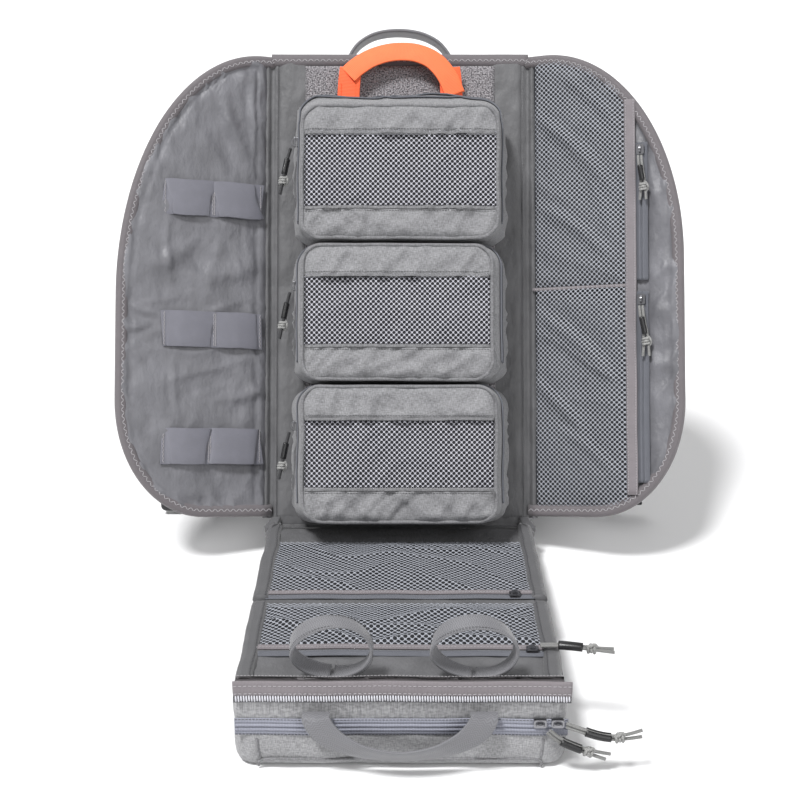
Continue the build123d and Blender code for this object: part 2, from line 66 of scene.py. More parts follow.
# ---------------------------------------------------------------- the bag's dimensions, in mm
LEAN = math.radians(27.6)
SLOPE = math.radians(7.0)
WING_OPEN = math.radians(22.0)
FOLD = Vector((0, 42.0, 35.5))
HINGE_X = 139.5
WING_WIDTH, WING_LOW, WING_TOP = 168.0, 10.0, 510.0
LOW_CORNER = (95.0, 122.0)
TOP_CORNER = {-1: (160.0, 268.0), 1: (150.0, 226.0)}
GUSSET_END = 194.0
POCKET_FAR, POCKET_NEAR = 196.5, 362.0
POUCH_NAMES = ("upper", "middle", "lower")
POUCH_MIDDLES = (368.5, 222.0, 75.5)

# ---------------------------------------------------------------- flat spaces of the bag
RIGHTWARD = Vector((1, 0, 0))
UP_PANEL = Vector((0, math.sin(LEAN), math.cos(LEAN)))
OFF_PANEL = Vector((0, -math.cos(LEAN), math.sin(LEAN)))


def space(origin, x, y):
    """A matrix that takes a local place in metres to the CAD frame."""
    z = x.cross(y)
    matrix = Matrix((x, y, z)).transposed().to_4x4()
    matrix.translation = origin * MM
    return matrix


def wing_space(side):
    """The front face of a wing, side -1 on the left and 1 on the right."""
    across = RIGHTWARD * math.cos(WING_OPEN) + OFF_PANEL * (side * math.sin(WING_OPEN))
    return space(FOLD + RIGHTWARD * (side * HINGE_X), across, UP_PANEL)


BACK = space(FOLD, RIGHTWARD, UP_PANEL)
FRONT = space(FOLD, RIGHTWARD, Vector((0, math.cos(SLOPE), -math.sin(SLOPE))))
WINGS = {-1: wing_space(-1), 1: wing_space(1)}
WALL = space(Vector((0, FOLD.y - POCKET_NEAR, 0)), RIGHTWARD, Vector((0, 0, 1)))
GROUND = space(Vector((0, FOLD.y, 0)), RIGHTWARD, Vector((0, 1, 0)))
SIDE = space(FOLD, OFF_PANEL, UP_PANEL)  # x towards the viewer, y up the panel, z out to the left


def world(place, point):
    """A local point in mm as a point of the CAD frame in metres."""
    return place @ (Vector(point) * MM)


# ---------------------------------------------------------------- materials
class Paint:
    """A node material under construction. Its fabric coordinates are UVs in metres."""

    def __init__(self, name, **sockets):
        self.material = bpy.data.materials.new(name)
        self.material.use_nodes = True
        self.tree = self.material.node_tree
        self.shader = self.tree.nodes["Principled BSDF"]
        for socket, value in sockets.items():
            self.shader.inputs[socket.replace("_", " ")].default_value = value
        uv = self.tree.nodes.new("ShaderNodeUVMap")
        uv.uv_map = "UVMap"
        self.uv = uv.outputs[0]

    def node(self, kind, *inputs, **settings):
        made = self.tree.nodes.new("ShaderNode" + kind)
        for key, value in settings.items():
            setattr(made, key, value)
        for slot, value in zip(made.inputs, inputs):
            if value is None:
                continue
            if isinstance(value, bpy.types.NodeSocket):
                self.tree.links.new(value, slot)
            else:
                slot.default_value = value
        return made

    def math(self, operation, *inputs):
        return self.node("Math", *inputs, operation=operation).outputs[0]

    def axis(self, index):
        return self.node("SeparateXYZ", self.uv).outputs[index]

    def ribs(self, index, pitch_mm, shift=None):
        """Sine ribs across one fabric direction, from -1 to 1."""
        turns = self.math("MULTIPLY", self.axis(index), TAU / (pitch_mm * MM))
        if shift is not None:
            turns = self.math("ADD", turns, shift)
        return self.math("SINE", turns)

    def speckle(self, size_mm, stretch=(1.0, 1.0), detail=2.0, seed=0.0):
        """Noise from 0 to 1 with grains of size_mm, drawn out along the fabric directions."""
        grain = (1 / (stretch[0] * size_mm * MM), 1 / (stretch[1] * size_mm * MM), 1.0)
        mapped = self.node("Mapping", self.uv, (seed, seed, seed), None, grain)
        found = self.node("TexNoise", mapped.outputs[0], noise_dimensions="3D")
        found.inputs["Scale"].default_value = 1.0
        found.inputs["Detail"].default_value = detail
        return found.outputs[0]

    def blend(self, factor, low, high):
        """A colour from low to high."""
        mix = self.tree.nodes.new("ShaderNodeMix")
        mix.data_type = "RGBA"
        self.tree.links.new(factor, mix.inputs["Factor"])
        for key, value in (("A", low), ("B", high)):
            sockets = [s for s in mix.inputs if s.name == key and s.type == "RGBA"]
            if isinstance(value, bpy.types.NodeSocket):
                self.tree.links.new(value, sockets[0])
            else:
                sockets[0].default_value = (*value, 1.0)
        return [s for s in mix.outputs if s.type == "RGBA"][0]

    def stretch(self, value, low, high):
        """value taken from the range low..high to 0..1 and clamped."""
        ranged = self.node("MapRange", value, low, high)
        return ranged.outputs[0]

    def colour(self, socket):
        self.tree.links.new(socket, self.shader.inputs["Base Color"])

    def rough(self, socket):
        self.tree.links.new(socket, self.shader.inputs["Roughness"])

    def bump(self, height, distance_mm, strength=1.0):
        bumped = self.tree.nodes.new("ShaderNodeBump")
        bumped.inputs["Strength"].default_value = strength
        bumped.inputs["Distance"].default_value = distance_mm * MM
        self.tree.links.new(height, bumped.inputs["Height"])
        self.tree.links.new(bumped.outputs[0], self.shader.inputs["Normal"])


def shade(colour, factor):
    """A colour made darker or lighter by a factor."""
    return tuple(c * factor for c in colour)


def heather_paint(name, colour):
    """Two-tone woven polyester: flecks of lighter and darker yarn both ways."""
    paint = Paint(name, Sheen_Weight=0.15, Sheen_Roughness=0.6)
    lengthwise = paint.stretch(paint.speckle(0.8, (6.0, 1.0), 3.0), 0.38, 0.62)
    crosswise = paint.stretch(paint.speckle(0.8, (1.0, 5.0), 3.0, 4.0), 0.38, 0.62)
    yarn = paint.math("MULTIPLY", paint.math("ADD", lengthwise, crosswise), 0.5)
    tone = paint.stretch(paint.speckle(38.0, (1.0, 1.0), 3.0, 9.0), 0.3, 0.75)
    mixed = paint.blend(yarn, shade(colour, 0.55), shade(colour, 1.44))
    paint.colour(paint.blend(paint.math("MULTIPLY", tone, 0.16), mixed, shade(colour, 1.25)))
    weave = paint.math("MULTIPLY", paint.ribs(0, 0.9), paint.ribs(1, 0.9))
    paint.bump(paint.math("ADD", paint.math("MULTIPLY", weave, 0.25), yarn), 0.12)
    paint.rough(paint.stretch(yarn, -1.6, 1.4))
    return paint.material


def liner_paint(name, colour, roughness=0.4):
    """Thin coated nylon: even colour, a soft shine and fine creases."""
    paint = Paint(name, Sheen_Weight=0.08)
    tone = paint.stretch(paint.speckle(30.0, (1.0, 1.6), 3.0), 0.3, 0.7)
    grain = paint.speckle(0.5, (1.0, 1.0), 1.0)
    paint.colour(paint.blend(tone, shade(colour, 0.8), shade(colour, 1.18)))
    crinkle = paint.speckle(13.0, (1.0, 1.7), 4.0, 2.0)
    paint.bump(paint.math("ADD", crinkle, paint.math("MULTIPLY", grain, 0.08)), 2.6, 0.9)
    paint.rough(paint.math("ADD", paint.math("MULTIPLY", tone, 0.1), roughness - 0.05))
    return paint.material


def ribbed_paint(name, colour, pitch, across=0, contrast=0.3, roughness=0.62, sheen=0.2):
    """Webbing, grosgrain or elastic: ribs of woven yarn, their crowns painted lighter as highlight and
    their grooves darker as painted shade, with random lighter worn patches.
    """
    paint = Paint(name, Sheen_Weight=sheen, Sheen_Roughness=0.5, Roughness=roughness)
    ribs = paint.math("MULTIPLY_ADD", paint.ribs(across, pitch), 0.5, 0.5)
    yarn = paint.speckle(0.5, (1.0, 2.2), 2.0)
    wear = paint.stretch(paint.speckle(14.0, (1.0, 1.0), 4.0, 3.0), 0.45, 0.75)
    # rib crowns painted lighter as highlight and grooves darker as painted shade, mixed with the
    # yarn's grain
    lit = paint.math("ADD", paint.math("MULTIPLY", ribs, 0.6), paint.math("MULTIPLY", yarn, 0.5))
    mixed = paint.blend(lit, shade(colour, 1 - contrast), shade(colour, 1 + contrast))
    paint.colour(paint.blend(paint.math("MULTIPLY", wear, 0.3), mixed, shade(colour, 1.3)))
    cross = paint.ribs(1 - across, pitch * 0.8)
    paint.bump(paint.math("MULTIPLY_ADD", cross, 0.15, lit), 0.25)
    return paint.material


def chevron_paint(name, colour, pitch=2.0, contrast=0.25, sheen=0.25):
    """Herringbone webbing: slanting yarns that turn back every few millimetres of its width."""
    paint = Paint(name, Sheen_Weight=sheen, Sheen_Roughness=0.5, Roughness=0.6)
    zigzag = paint.math("PINGPONG", paint.math("MULTIPLY", paint.axis(0), 1000.0), 3.0)
    slant = paint.ribs(1, pitch, paint.math("MULTIPLY", zigzag, 1.9))
    rows = paint.math("MULTIPLY_ADD", slant, 0.5, 0.5)
    yarn = paint.speckle(0.6, (1.0, 2.0), 2.0)
    lit = paint.math("ADD", paint.math("MULTIPLY", rows, 0.6), paint.math("MULTIPLY", yarn, 0.5))
    paint.colour(paint.blend(lit, shade(colour, 1 - contrast), shade(colour, 1 + contrast)))
    paint.bump(lit, 0.25)
    return paint.material


def grainy_paint(name, dark, light, size, roughness, bump_mm, stretch=(1.0, 1.0)):
    """A surface of small grains between two colours: brushed loop, thread, spacer mesh."""
    paint = Paint(name, Roughness=roughness)
    grains = paint.stretch(paint.speckle(size, stretch, 2.0), 0.34, 0.68)
    tone = paint.speckle(22.0, (1.0, 1.0), 2.0, 5.0)
    mixed = paint.blend(grains, dark, light)
    paint.colour(paint.blend(paint.math("MULTIPLY", tone, 0.25), mixed, dark))
    paint.bump(grains, bump_mm)
    return paint.material


def spacer_paint(name, colour):
    """Knitted spacer mesh over foam: rows of round pits."""
    paint = Paint(name, Roughness=0.85, Sheen_Weight=0.2)
    wide = paint.math("MULTIPLY", paint.ribs(0, 5.0), paint.ribs(1, 4.4))
    pits = paint.stretch(wide, 0.1, 0.7)
    grain = paint.speckle(0.7, (1.0, 1.0), 2.0)
    lit = paint.math("SUBTRACT", grain, paint.math("MULTIPLY", pits, 0.9))
    paint.colour(paint.blend(paint.stretch(lit, -0.6, 0.7), shade(colour, 0.35), shade(colour, 1.5)))
    paint.bump(lit, 0.7)
    return paint.material


def metal_paint(name, colour, roughness):
    paint = Paint(name, Metallic=1.0)
    wear = paint.stretch(paint.speckle(1.8, (1.0, 1.0), 4.0), 0.35, 0.7)
    paint.colour(paint.blend(wear, shade(colour, 0.7), colour))
    paint.rough(paint.math("MULTIPLY_ADD", wear, 0.16, roughness - 0.08))
    paint.bump(wear, 0.03)
    return paint.material


def plastic_paint(name, colour, roughness):
    paint = Paint(name)
    grain = paint.speckle(0.35, (1.0, 1.0), 2.0)
    scuff = paint.stretch(paint.speckle(9.0, (1.0, 3.0), 5.0, 6.0), 0.5, 0.75)
    paint.colour(paint.blend(paint.math("MULTIPLY", scuff, 0.5), colour, shade(colour, 2.2)))
    paint.rough(paint.math("MULTIPLY_ADD", scuff, 0.15, roughness))
    paint.bump(grain, 0.05)
    return paint.material


def braid_paint(name, colour, contrast=0.45, roughness=0.6):
    """Braided cord: two sets of strands crossing round a tube; UVs run round and along it."""
    paint = Paint(name, Roughness=roughness)
    lean = paint.math("MULTIPLY", paint.axis(0), TAU / (2.3 * MM))
    right = paint.ribs(1, 2.0, lean)
    left = paint.ribs(1, 2.0, paint.math("MULTIPLY", lean, -1.0))
    lit = paint.math("MULTIPLY_ADD", paint.math("MAXIMUM", right, left), 0.5, 0.5)
    paint.colour(paint.blend(lit, shade(colour, 1 - contrast), shade(colour, 1 + contrast)))
    paint.bump(lit, 0.2)
    return paint.material


HEATHER = heather_paint("heather_grey", (0.22, 0.22, 0.229))
# the same heather painted lighter, as painted light on the admin pocket's walls
HEATHER_PAINTED_LIGHT = heather_paint("heather_painted_light", (0.275, 0.275, 0.283))
# the same heather painted darker, as painted shade on the shells' backs, the piping and the window
# hems
HEATHER_PAINTED_SHADE = heather_paint("heather_painted_shade", (0.17, 0.17, 0.178))
LINER = liner_paint("liner_grey", (0.155, 0.155, 0.17))
LINER_PLAIN = liner_paint("liner_panel", (0.115, 0.115, 0.12), 0.52)
# near-black painted shade on the inner faces of the pouches and the admin pocket
LINING_PAINTED_SHADE = liner_paint("lining_painted_shade", (0.035, 0.035, 0.04), 0.7)
# near-black painted shade standing in for the shadowy insides of the mesh pockets
POCKET_PAINTED_SHADE = liner_paint("pocket_painted_shade", (0.018, 0.019, 0.024), 0.6)
# near-black painted shade behind each pouch window's yarn, standing in for the shadowy inside of the
# pouch
WINDOW_SHADE = liner_paint("window_shade", (0.012, 0.012, 0.016), 0.7)
BINDING = ribbed_paint("binding_tape", (0.135, 0.122, 0.13), 1.1, 1, 0.22)
BINDING_DARK = ribbed_paint("binding_dark", (0.085, 0.085, 0.09), 1.1, 1, 0.3)
GROSGRAIN = ribbed_paint("grosgrain", (0.2, 0.18, 0.192), 1.2, 1, 0.2)
ELASTIC = ribbed_paint("elastic_band", (0.17, 0.17, 0.2), 0.8, 0, 0.12, 0.5)
WEBBING = chevron_paint("webbing_grey", (0.16, 0.16, 0.172))
WEBBING_DARK = chevron_paint("webbing_dark", (0.085, 0.085, 0.09))
ORANGE = ribbed_paint("webbing_orange", (1.0, 0.13, 0.035), 1.5, 1, 0.16, 0.6, 0.05)
# the same orange webbing painted lighter, as painted light on the handle's arch
ORANGE_PAINTED_LIGHT = ribbed_paint("webbing_orange_painted_light", (1.0, 0.18, 0.055), 1.5, 1, 0.12, 0.6, 0.1)
ORANGE_THREAD = grainy_paint("thread_orange", (0.6, 0.09, 0.02), (0.9, 0.2, 0.05), 0.4, 0.7, 0.05)
FIELD = grainy_paint("loop_pile", (0.06, 0.058, 0.062), (0.5, 0.475, 0.5), 1.7, 0.95, 0.7)
MESH_LIGHT = grainy_paint("mesh_yarn_light", (0.33, 0.33, 0.37), (0.78, 0.78, 0.85), 0.5, 0.55, 0.12)
MESH_GREY = grainy_paint("mesh_yarn_grey", (0.22, 0.23, 0.26), (0.5, 0.52, 0.57), 0.5, 0.6, 0.12)
ZIP_TAPE = ribbed_paint("zipper_tape", (0.11, 0.115, 0.135), 0.9, 1, 0.2, 0.5)
ZIP_BLUE = ribbed_paint("zipper_blue_grey", (0.25, 0.258, 0.31), 1.3, 1, 0.3, 0.36, 0.05)
ZIP_TEETH = plastic_paint("zipper_teeth", (0.56, 0.56, 0.6), 0.3)
THREAD = grainy_paint("thread_light", (0.3, 0.29, 0.3), (0.5, 0.48, 0.5), 0.4, 0.7, 0.05)
THREAD_DARK = grainy_paint("thread_dark", (0.07, 0.07, 0.075), (0.15, 0.15, 0.16), 0.4, 0.7, 0.05)
METAL = metal_paint("slider_nickel", (0.34, 0.34, 0.36), 0.3)
CORD_DARK = braid_paint("cord_charcoal", (0.045, 0.045, 0.048))
CORD_GREY = braid_paint("cord_grey", (0.24, 0.24, 0.235))
SLEEVE = plastic_paint("sleeve_black", (0.014, 0.014, 0.015), 0.25)
BUCKLE = plastic_paint("buckle_black", (0.022, 0.022, 0.024), 0.42)
PANEL_PLASTIC = plastic_paint("sheet_plastic", (0.4, 0.4, 0.41), 0.5)
SPACER = spacer_paint("spacer_mesh", (0.09, 0.09, 0.095))
PAD_SHELL = heather_paint("pad_shell", (0.16, 0.16, 0.168))


# ---------------------------------------------------------------- mesh building
WELD = 0.02  # points closer than this are one point
OUT = (0, 0, 1)  # off the front of a flat space
IN = (0, 0, -1)


class Shape:
    """Points, faces and fabric coordinates of one piece, in millimetres."""

    def __init__(self):
        self.points, self.faces, self.cloth, self.parts = [], [], [], []

    def grid(self, rows, closed=False, part=0, keep=None, flat=None):
        """Faces between rows of points. Fabric coordinates follow the surface's own lengths, or
        the (u, v) of each point in flat."""
        base, wide = len(self.points), len(rows[0])
        for row in rows:
            self.points.extend(row)
        if flat is None:
            middle = rows[len(rows) // 2]
            across = running(middle + [middle[0]] if closed else middle)
            along = running([row[wide // 2] for row in rows])
            flat = [[(u, v) for u in across] for v in along]
        for i in range(len(rows) - 1):
            for j in range(wide if closed else wide - 1):
                if keep and not keep(i, j):
                    continue
                k = (j + 1) % wide
                corners = (base + i * wide + j, base + i * wide + k,
                           base + (i + 1) * wide + k, base + (i + 1) * wide + j)
                self.faces.append(corners)
                self.cloth.append((flat[i][j], flat[i][j + 1], flat[i + 1][j + 1], flat[i + 1][j]))
                self.parts.append(part)
        return self

    def face(self, points, part=0):
        """One flat face through points, with their first two coordinates as its cloth."""
        base = len(self.points)
        self.points.extend(points)
        self.faces.append(tuple(range(base, base + len(points))))
        self.cloth.append([(p[0], p[1]) for p in points])
        self.parts.append(part)
        return self

    def sweep(self, path, ups, section, closed=False, part=0, caps=True):
        """Carries a closed section of (across, up) points along a path."""
        path = [Vector(p) for p in path]
        ups = [Vector(u) for u in ups] if isinstance(ups, list) else [Vector(ups)] * len(path)
        count = len(path)
        rows = []
        for i, point in enumerate(path):
            before = path[i - 1] if i or closed else path[0]
            after = path[(i + 1) % count] if i < count - 1 or closed else path[-1]
            along = (after - before).normalized()
            up = (ups[i] - along * ups[i].dot(along)).normalized()
            across = along.cross(up)
            rows.append([point + across * a + up * b for a, b in section])
        around = running([Vector((a, b, 0)) for a, b in section + [section[0]]])
        if closed:
            along = running(path + [path[0]])
            rows.append(rows[0])
        else:
            along = running(path)
        self.grid(rows, True, part, None, [[(u, v) for u in around] for v in along])
        if caps and not closed:
            self.face([Vector(p) for p in reversed(rows[0])], part)
            self.face([Vector(p) for p in rows[-1]], part)
        return self

    def bar(self, start, end, radius, part=0):
        """A short rounded bar, as a stitch or a zipper tooth."""
        start, end = Vector(start), Vector(end)
        along = (end - start).normalized()
        side = along.cross(Vector((0.31, 0.52, 0.79))).normalized()
        other = along.cross(side)
        ring = [(math.cos(TAU * k / 6), math.sin(TAU * k / 6)) for k in range(6)]
        rows = []
        for share, size in ((0.0, 0.45), (0.18, 1.0), (0.82, 1.0), (1.0, 0.45)):
            middle = start.lerp(end, share)
            rows.append([middle + (side * c + other * s) * (radius * size) for c, s in ring])
        around = [TAU * radius * k / 6 for k in range(7)]
        length = (end - start).length
        along = [share * length for share in (0.0, 0.18, 0.82, 1.0)]
        self.grid(rows, True, part, None, [[(u, v) for u in around] for v in along])
        self.face(list(reversed(rows[0])), part)
        self.face(rows[-1], part)
        return self

    def stitches(self, path, up, pitch=3.2, length=2.3, angle=0.0, radius=0.32, lift=0.1, part=0):
        """A row of stitches lying on a surface that faces up, each turned to and fro by angle."""
        up = Vector(up)
        points = evenly([Vector(p) for p in path], pitch)
        for i in range(len(points) - 1):
            along = (points[i + 1] - points[i]).normalized()
            across = along.cross(up).normalized()
            turn = angle if i % 2 else -angle
            way = along * math.cos(turn) + across * math.sin(turn)
            middle = (points[i] + points[i + 1]) / 2 + up * lift
            self.bar(middle - way * (length / 2), middle + way * (length / 2), radius, part)
        return self

    def make(self, name, place, body, slot, *materials, solid=0.0, lining=None, turn=True):
        """The finished object, riding on body if one is given. solid thickens it inwards in mm,
        and turn lets its faces be turned outwards, which an open shell's already are."""
        mesh = bpy.data.meshes.new(name)
        mesh.from_pydata([tuple(Vector(p) * MM) for p in self.points], [], self.faces)
        layer = mesh.uv_layers.new(name="UVMap")
        flat = [c * MM for face in self.cloth for pair in face for c in pair]
        layer.data.foreach_set("uv", flat)
        mesh.polygons.foreach_set("material_index", self.parts)
        mesh.polygons.foreach_set("use_smooth", [True] * len(self.faces))
        work = bmesh.new()
        work.from_mesh(mesh)
        bmesh.ops.remove_doubles(work, verts=work.verts, dist=WELD * MM)
        if turn:
            bmesh.ops.recalc_face_normals(work, faces=work.faces)
        work.to_mesh(mesh)
        work.free()
        mesh.update()
        made = bpy.data.objects.new(name, mesh)
        bpy.context.scene.collection.objects.link(made)
        for material in materials:
            mesh.materials.append(material)
        if lining is not None:
            mesh.materials.append(lining)
        if solid:
            shell = made.modifiers.new("cloth", "SOLIDIFY")
            shell.thickness = solid * MM
            shell.offset = -1.0
            shell.use_even_offset = True
            if lining is not None:
                shell.material_offset = len(materials)
        made.matrix_world = place
        if body:
            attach(made, body)
        return made


def running(points):
    """Length run along points, from 0."""
    total, found = 0.0, [0.0]
    for a, b in zip(points, points[1:]):
        total += (Vector(b) - Vector(a)).length
        found.append(total)
    return found


def evenly(points, pitch):
    """Points along a path, pitch apart as nearly as its length allows."""
    lengths = running(points)
    count = max(1, round(lengths[-1] / pitch))
    found, i = [], 0
    for k in range(count + 1):
        want = lengths[-1] * k / count
        while i < len(lengths) - 2 and lengths[i + 1] < want:
            i += 1
        span = lengths[i + 1] - lengths[i]
        share = (want - lengths[i]) / span if span else 0.0
        found.append(points[i].lerp(points[i + 1], share))
    return found


def bent(controls, count=40):
    """A smooth curve through control points."""
    controls = [Vector(c) for c in controls]
    padded = [controls[0] * 2 - controls[1]] + controls + [controls[-1] * 2 - controls[-2]]
    found = []
    spans = len(controls) - 1
    for k in range(count + 1):
        place = spans * k / count
        i = min(int(place), spans - 1)
        t = place - i
        a, b, c, d = padded[i:i + 4]
        found.append(((b * 2) + (c - a) * t + (a * 2 - b * 5 + c * 4 - d) * t ** 2
                      + (b * 3 - a - c * 3 + d) * t ** 3) / 2)
    return found


def flat_section(width, thickness, round_off=0.6, bow=0.0):
    """A strap's section: a rounded rectangle, its middle raised by bow."""
    half, rise = width / 2, thickness / 2
    edge = min(rise, half) * round_off
    top = [(-half, rise - edge), (-half + edge * 0.3, rise - edge * 0.3), (-half + edge, rise),
           (-half / 3, rise + bow), (half / 3, rise + bow), (half - edge, rise),
           (half - edge * 0.3, rise - edge * 0.3), (half, rise - edge)]
    return top + [(a, -b + bow * 2 if b > rise else -b) for a, b in reversed(top)]


def round_section(radius, count=10, squash=1.0):
    return [(radius * math.cos(TAU * k / count), radius * squash * math.sin(TAU * k / count))
            for k in range(count)]


def swell(x, y, seed, size):
    """Smooth noise with features of size mm, from about -1 to 1."""
    return noise.noise(Vector((x / size, y / size, seed * 7.31)))


def creases(x, y, seed, size, stretch=3.0, angle=0.0, sharp=3.0):
    """Long ridges with features of size mm, from 0 to 1, running along angle."""
    turn = math.radians(angle)
    along = x * math.cos(turn) + y * math.sin(turn)
    across = -x * math.sin(turn) + y * math.cos(turn)
    bend = swell(x, y, seed + 3.7, size * 2.2) * size * 0.8
    ridge = noise.noise(Vector((along / (size * stretch), (across + bend) / size, seed * 5.17)))
    return (1 - min(1.0, abs(ridge) * 1.9)) ** sharp


def ease(distance, reach):
    """0 at an edge, 1 from reach inwards."""
    share = min(1.0, max(0.0, distance / reach))
    return math.sin(share * math.pi / 2)


def spread(start, end, count):
    return [start + (end - start) * k / count for k in range(count + 1)]


def moved(path, x, y, z):
    return [Vector(p) + Vector((x, y, z)) for p in path]


def facing(rows, side):
    """Rows of points as they are on the right, and turned end for end on the left."""
    return rows if side > 0 else [list(reversed(row)) for row in rows]


# ---------------------------------------------------------------- camera, floor and light
LENS, SENSOR = 67.5, 36.0
CAMERA_PLACE = (0.0, -1.3685, 0.8295)
CAMERA_DROP = 24.6  # degrees below level
SURROUND = 0.36  # strength of the even white light
SUNS = (("key", (26, 0, -46), 3.3, 12.0), ("fill", (56, 0, 34), 0.75, 40.0),
        ("back", (-50, 0, 15), 0.6, 40.0))
FLOOR_HALF = 9.0


def make_camera():
    data = bpy.data.cameras.new("camera")
    data.lens, data.sensor_width = LENS, SENSOR
    camera = bpy.data.objects.new("camera", data)
    camera.location = CAMERA_PLACE
    camera.rotation_euler = (math.radians(90 - CAMERA_DROP), 0, 0)
    bpy.context.scene.collection.objects.link(camera)
    bpy.context.scene.camera = camera


def make_floor():
    paint = Paint("floor_pale", Roughness=0.9)
    paint.colour(paint.blend(paint.speckle(60.0), (0.88, 0.88, 0.885), (0.9, 0.9, 0.905)))
    mesh = bpy.data.meshes.new("floor")
    half = FLOOR_HALF
    mesh.from_pydata([(-half, -half, 0), (half, -half, 0), (half, half, 0), (-half, half, 0)],
                     [], [(0, 1, 2, 3)])
    mesh.uv_layers.new(name="UVMap")
    mesh.materials.append(paint.material)
    floor = bpy.data.objects.new("floor", mesh)
    bpy.context.scene.collection.objects.link(floor)


def make_sun(name, turns, strength, spread_degrees):
    """A soft far light, turned from straight down by these degrees about X, Y and Z."""
    data = bpy.data.lights.new(name, "SUN")
    data.energy, data.angle = strength, math.radians(spread_degrees)
    light = bpy.data.objects.new(name, data)
    light.rotation_euler = [math.radians(turn) for turn in turns]
    bpy.context.scene.collection.objects.link(light)


def make_stage():
    make_floor()
    world_light = bpy.data.worlds.new("studio")
    world_light.use_nodes = True
    background = world_light.node_tree.nodes["Background"]
    background.inputs[0].default_value = (1.0, 1.0, 1.0, 1.0)
    background.inputs[1].default_value = SURROUND
    bpy.context.scene.world = world_light
    for name, turns, strength, spread_degrees in SUNS:
        make_sun(name, turns, strength, spread_degrees)
    bpy.context.scene.view_settings.view_transform = "Standard"


# ---------------------------------------------------------------- cord pulls
STRAND_WIDTH = 3.0  # diameter of one strand
STRAND_GAP = 3.4
TAIL_SPLAY = 3.4  # how much further apart the cut tails are
KNOT_AT, SLEEVE_FROM, SLEEVE_TO = 0.76, 0.22, 0.66  # shares of the way along a pull's line
KNOT_TURNS, KNOT_RADIUS, KNOT_LENGTH, KNOT_STEPS = 2.6, 3.1, 7.0, 44
SLEEVE_HALF = (4.2, 2.9)
PULLS = {
    "right_pull_upper": (WINGS[1], (1, 0, 0), "right_slider_upper",
                         [(125, 390, 8.5), (126, 377, 10.5), (129, 361, 10), (128, 343, 8)]),
    "right_pull_lower": (WINGS[1], (1, 0, 0), "right_slider_lower",
                         [(125, 231, 8.5), (126.5, 217, 10.5), (131, 199, 10), (130, 178, 8)]),
    "front_pull": (FRONT, (0, 1, 0), "front_slider",
                   [(124, -299.5, 9), (137, -302, 11), (153, -305, 11), (171, -307.5, 9.5),
                    (188, -308.5, 8.5)]),
    "admin_pull_upper": (WALL, (0, 1, 0), "admin_slider_upper",
                         [(141, 49.5, 7), (155, 45, 9), (172, 39, 9.5), (189, 37, 8.5),
                          (206, 41, 7)]),
    "admin_pull_lower": (WALL, (0.6, 0.8, 0), "admin_slider_lower",
                         [(126, 44, 8.5), (135, 36, 10), (148, 29, 9.5), (163, 22, 8.5),
                          (178, 17, 7.5)]),
}
POUCH_RISES = (36.0, 30.0, 30.0)
for _name, _middle, _rise in zip(POUCH_NAMES, POUCH_MIDDLES, POUCH_RISES):
    _top = _middle + _rise
    PULLS[f"pouch_pull_{_name}"] = (
        SIDE, (1, 0, 0), f"pouch_slider_{_name}",
        [(53, _top - 7, 115.5), (54, _top - 20, 119), (56.5, _top - 37, 122),
         (57, _top - 56, 126)])


def make_strand(name, points, bevel, material):
    """One smooth cord through control points in metres, in the CAD frame."""
    data = bpy.data.curves.new(name, "CURVE")
    data.dimensions = "3D"
    data.bevel_depth = bevel
    data.bevel_resolution = 4
    data.resolution_u = 10
    data.use_fill_caps = True
    line = data.splines.new("NURBS")
    line.points.add(len(points) - 1)
    for slot, point in zip(line.points, points):
        slot.co = (*point, 1.0)
    line.order_u = 3
    line.use_endpoint_u = True
    data.materials.append(material)
    made = bpy.data.objects.new(name, data)
    bpy.context.scene.collection.objects.link(made)
    return made


def spline_length(points):
    """The length in metres of the smooth line that make_strand draws."""
    probe = make_strand("probe", points, 0.0, CORD_GREY)
    probe.data.use_fill_caps = False
    mesh = bpy.data.meshes.new_from_object(probe)
    line = [v.co.copy() for v in mesh.vertices]
    bpy.data.objects.remove(probe)
    bpy.data.meshes.remove(mesh)
    return running(line)[-1], line


def make_knot(name, line, place, body, material):
    """A knot of the doubled cord: turns wound round it, with one strand crossing over them."""
    middle = line[place] / MM
    along = (line[place + 1] - line[place - 1]).normalized()
    up = along.cross(Vector((0.2, 0.9, 0.4))).normalized()
    side = along.cross(up)
    wound = []
    for k in range(KNOT_STEPS + 1):
        turn = TAU * KNOT_TURNS * k / KNOT_STEPS
        share = k / KNOT_STEPS - 0.5
        radius = KNOT_RADIUS + 0.5 * math.sin(k * 1.3)
        wound.append(middle + along * (KNOT_LENGTH * share)
                     + (up * math.cos(turn) + side * math.sin(turn)) * radius)
    crossing = bent([middle - along * 5 + up * 2.6, middle - along * 1.5 + up * 5.0 + side * 1.2,
                     middle + along * 2 + up * 4.8 - side * 1.2, middle + along * 5 + up * 2.4], 10)
    shape = Shape()
    shape.sweep(wound, along, round_section(1.45, 8))
    shape.sweep(crossing, side, round_section(1.4, 8))
    return shape.make(name, Matrix.Identity(4), body, "cord", material)


def make_sleeve(name, line, first, last, body):
    """A short shrunk tube that holds the two strands side by side."""
    path = [p / MM for p in line[first:last]]
    up = (path[-1] - path[0]).cross(Vector((0.3, 0.8, 0.5))).normalized()
    section = [(SLEEVE_HALF[0] * math.cos(TAU * k / 14), SLEEVE_HALF[1] * math.sin(TAU * k / 14))
               for k in range(14)]
    shape = Shape().sweep(path, up, section)
    return shape.make(name, Matrix.Identity(4), body, "cord", SLEEVE)


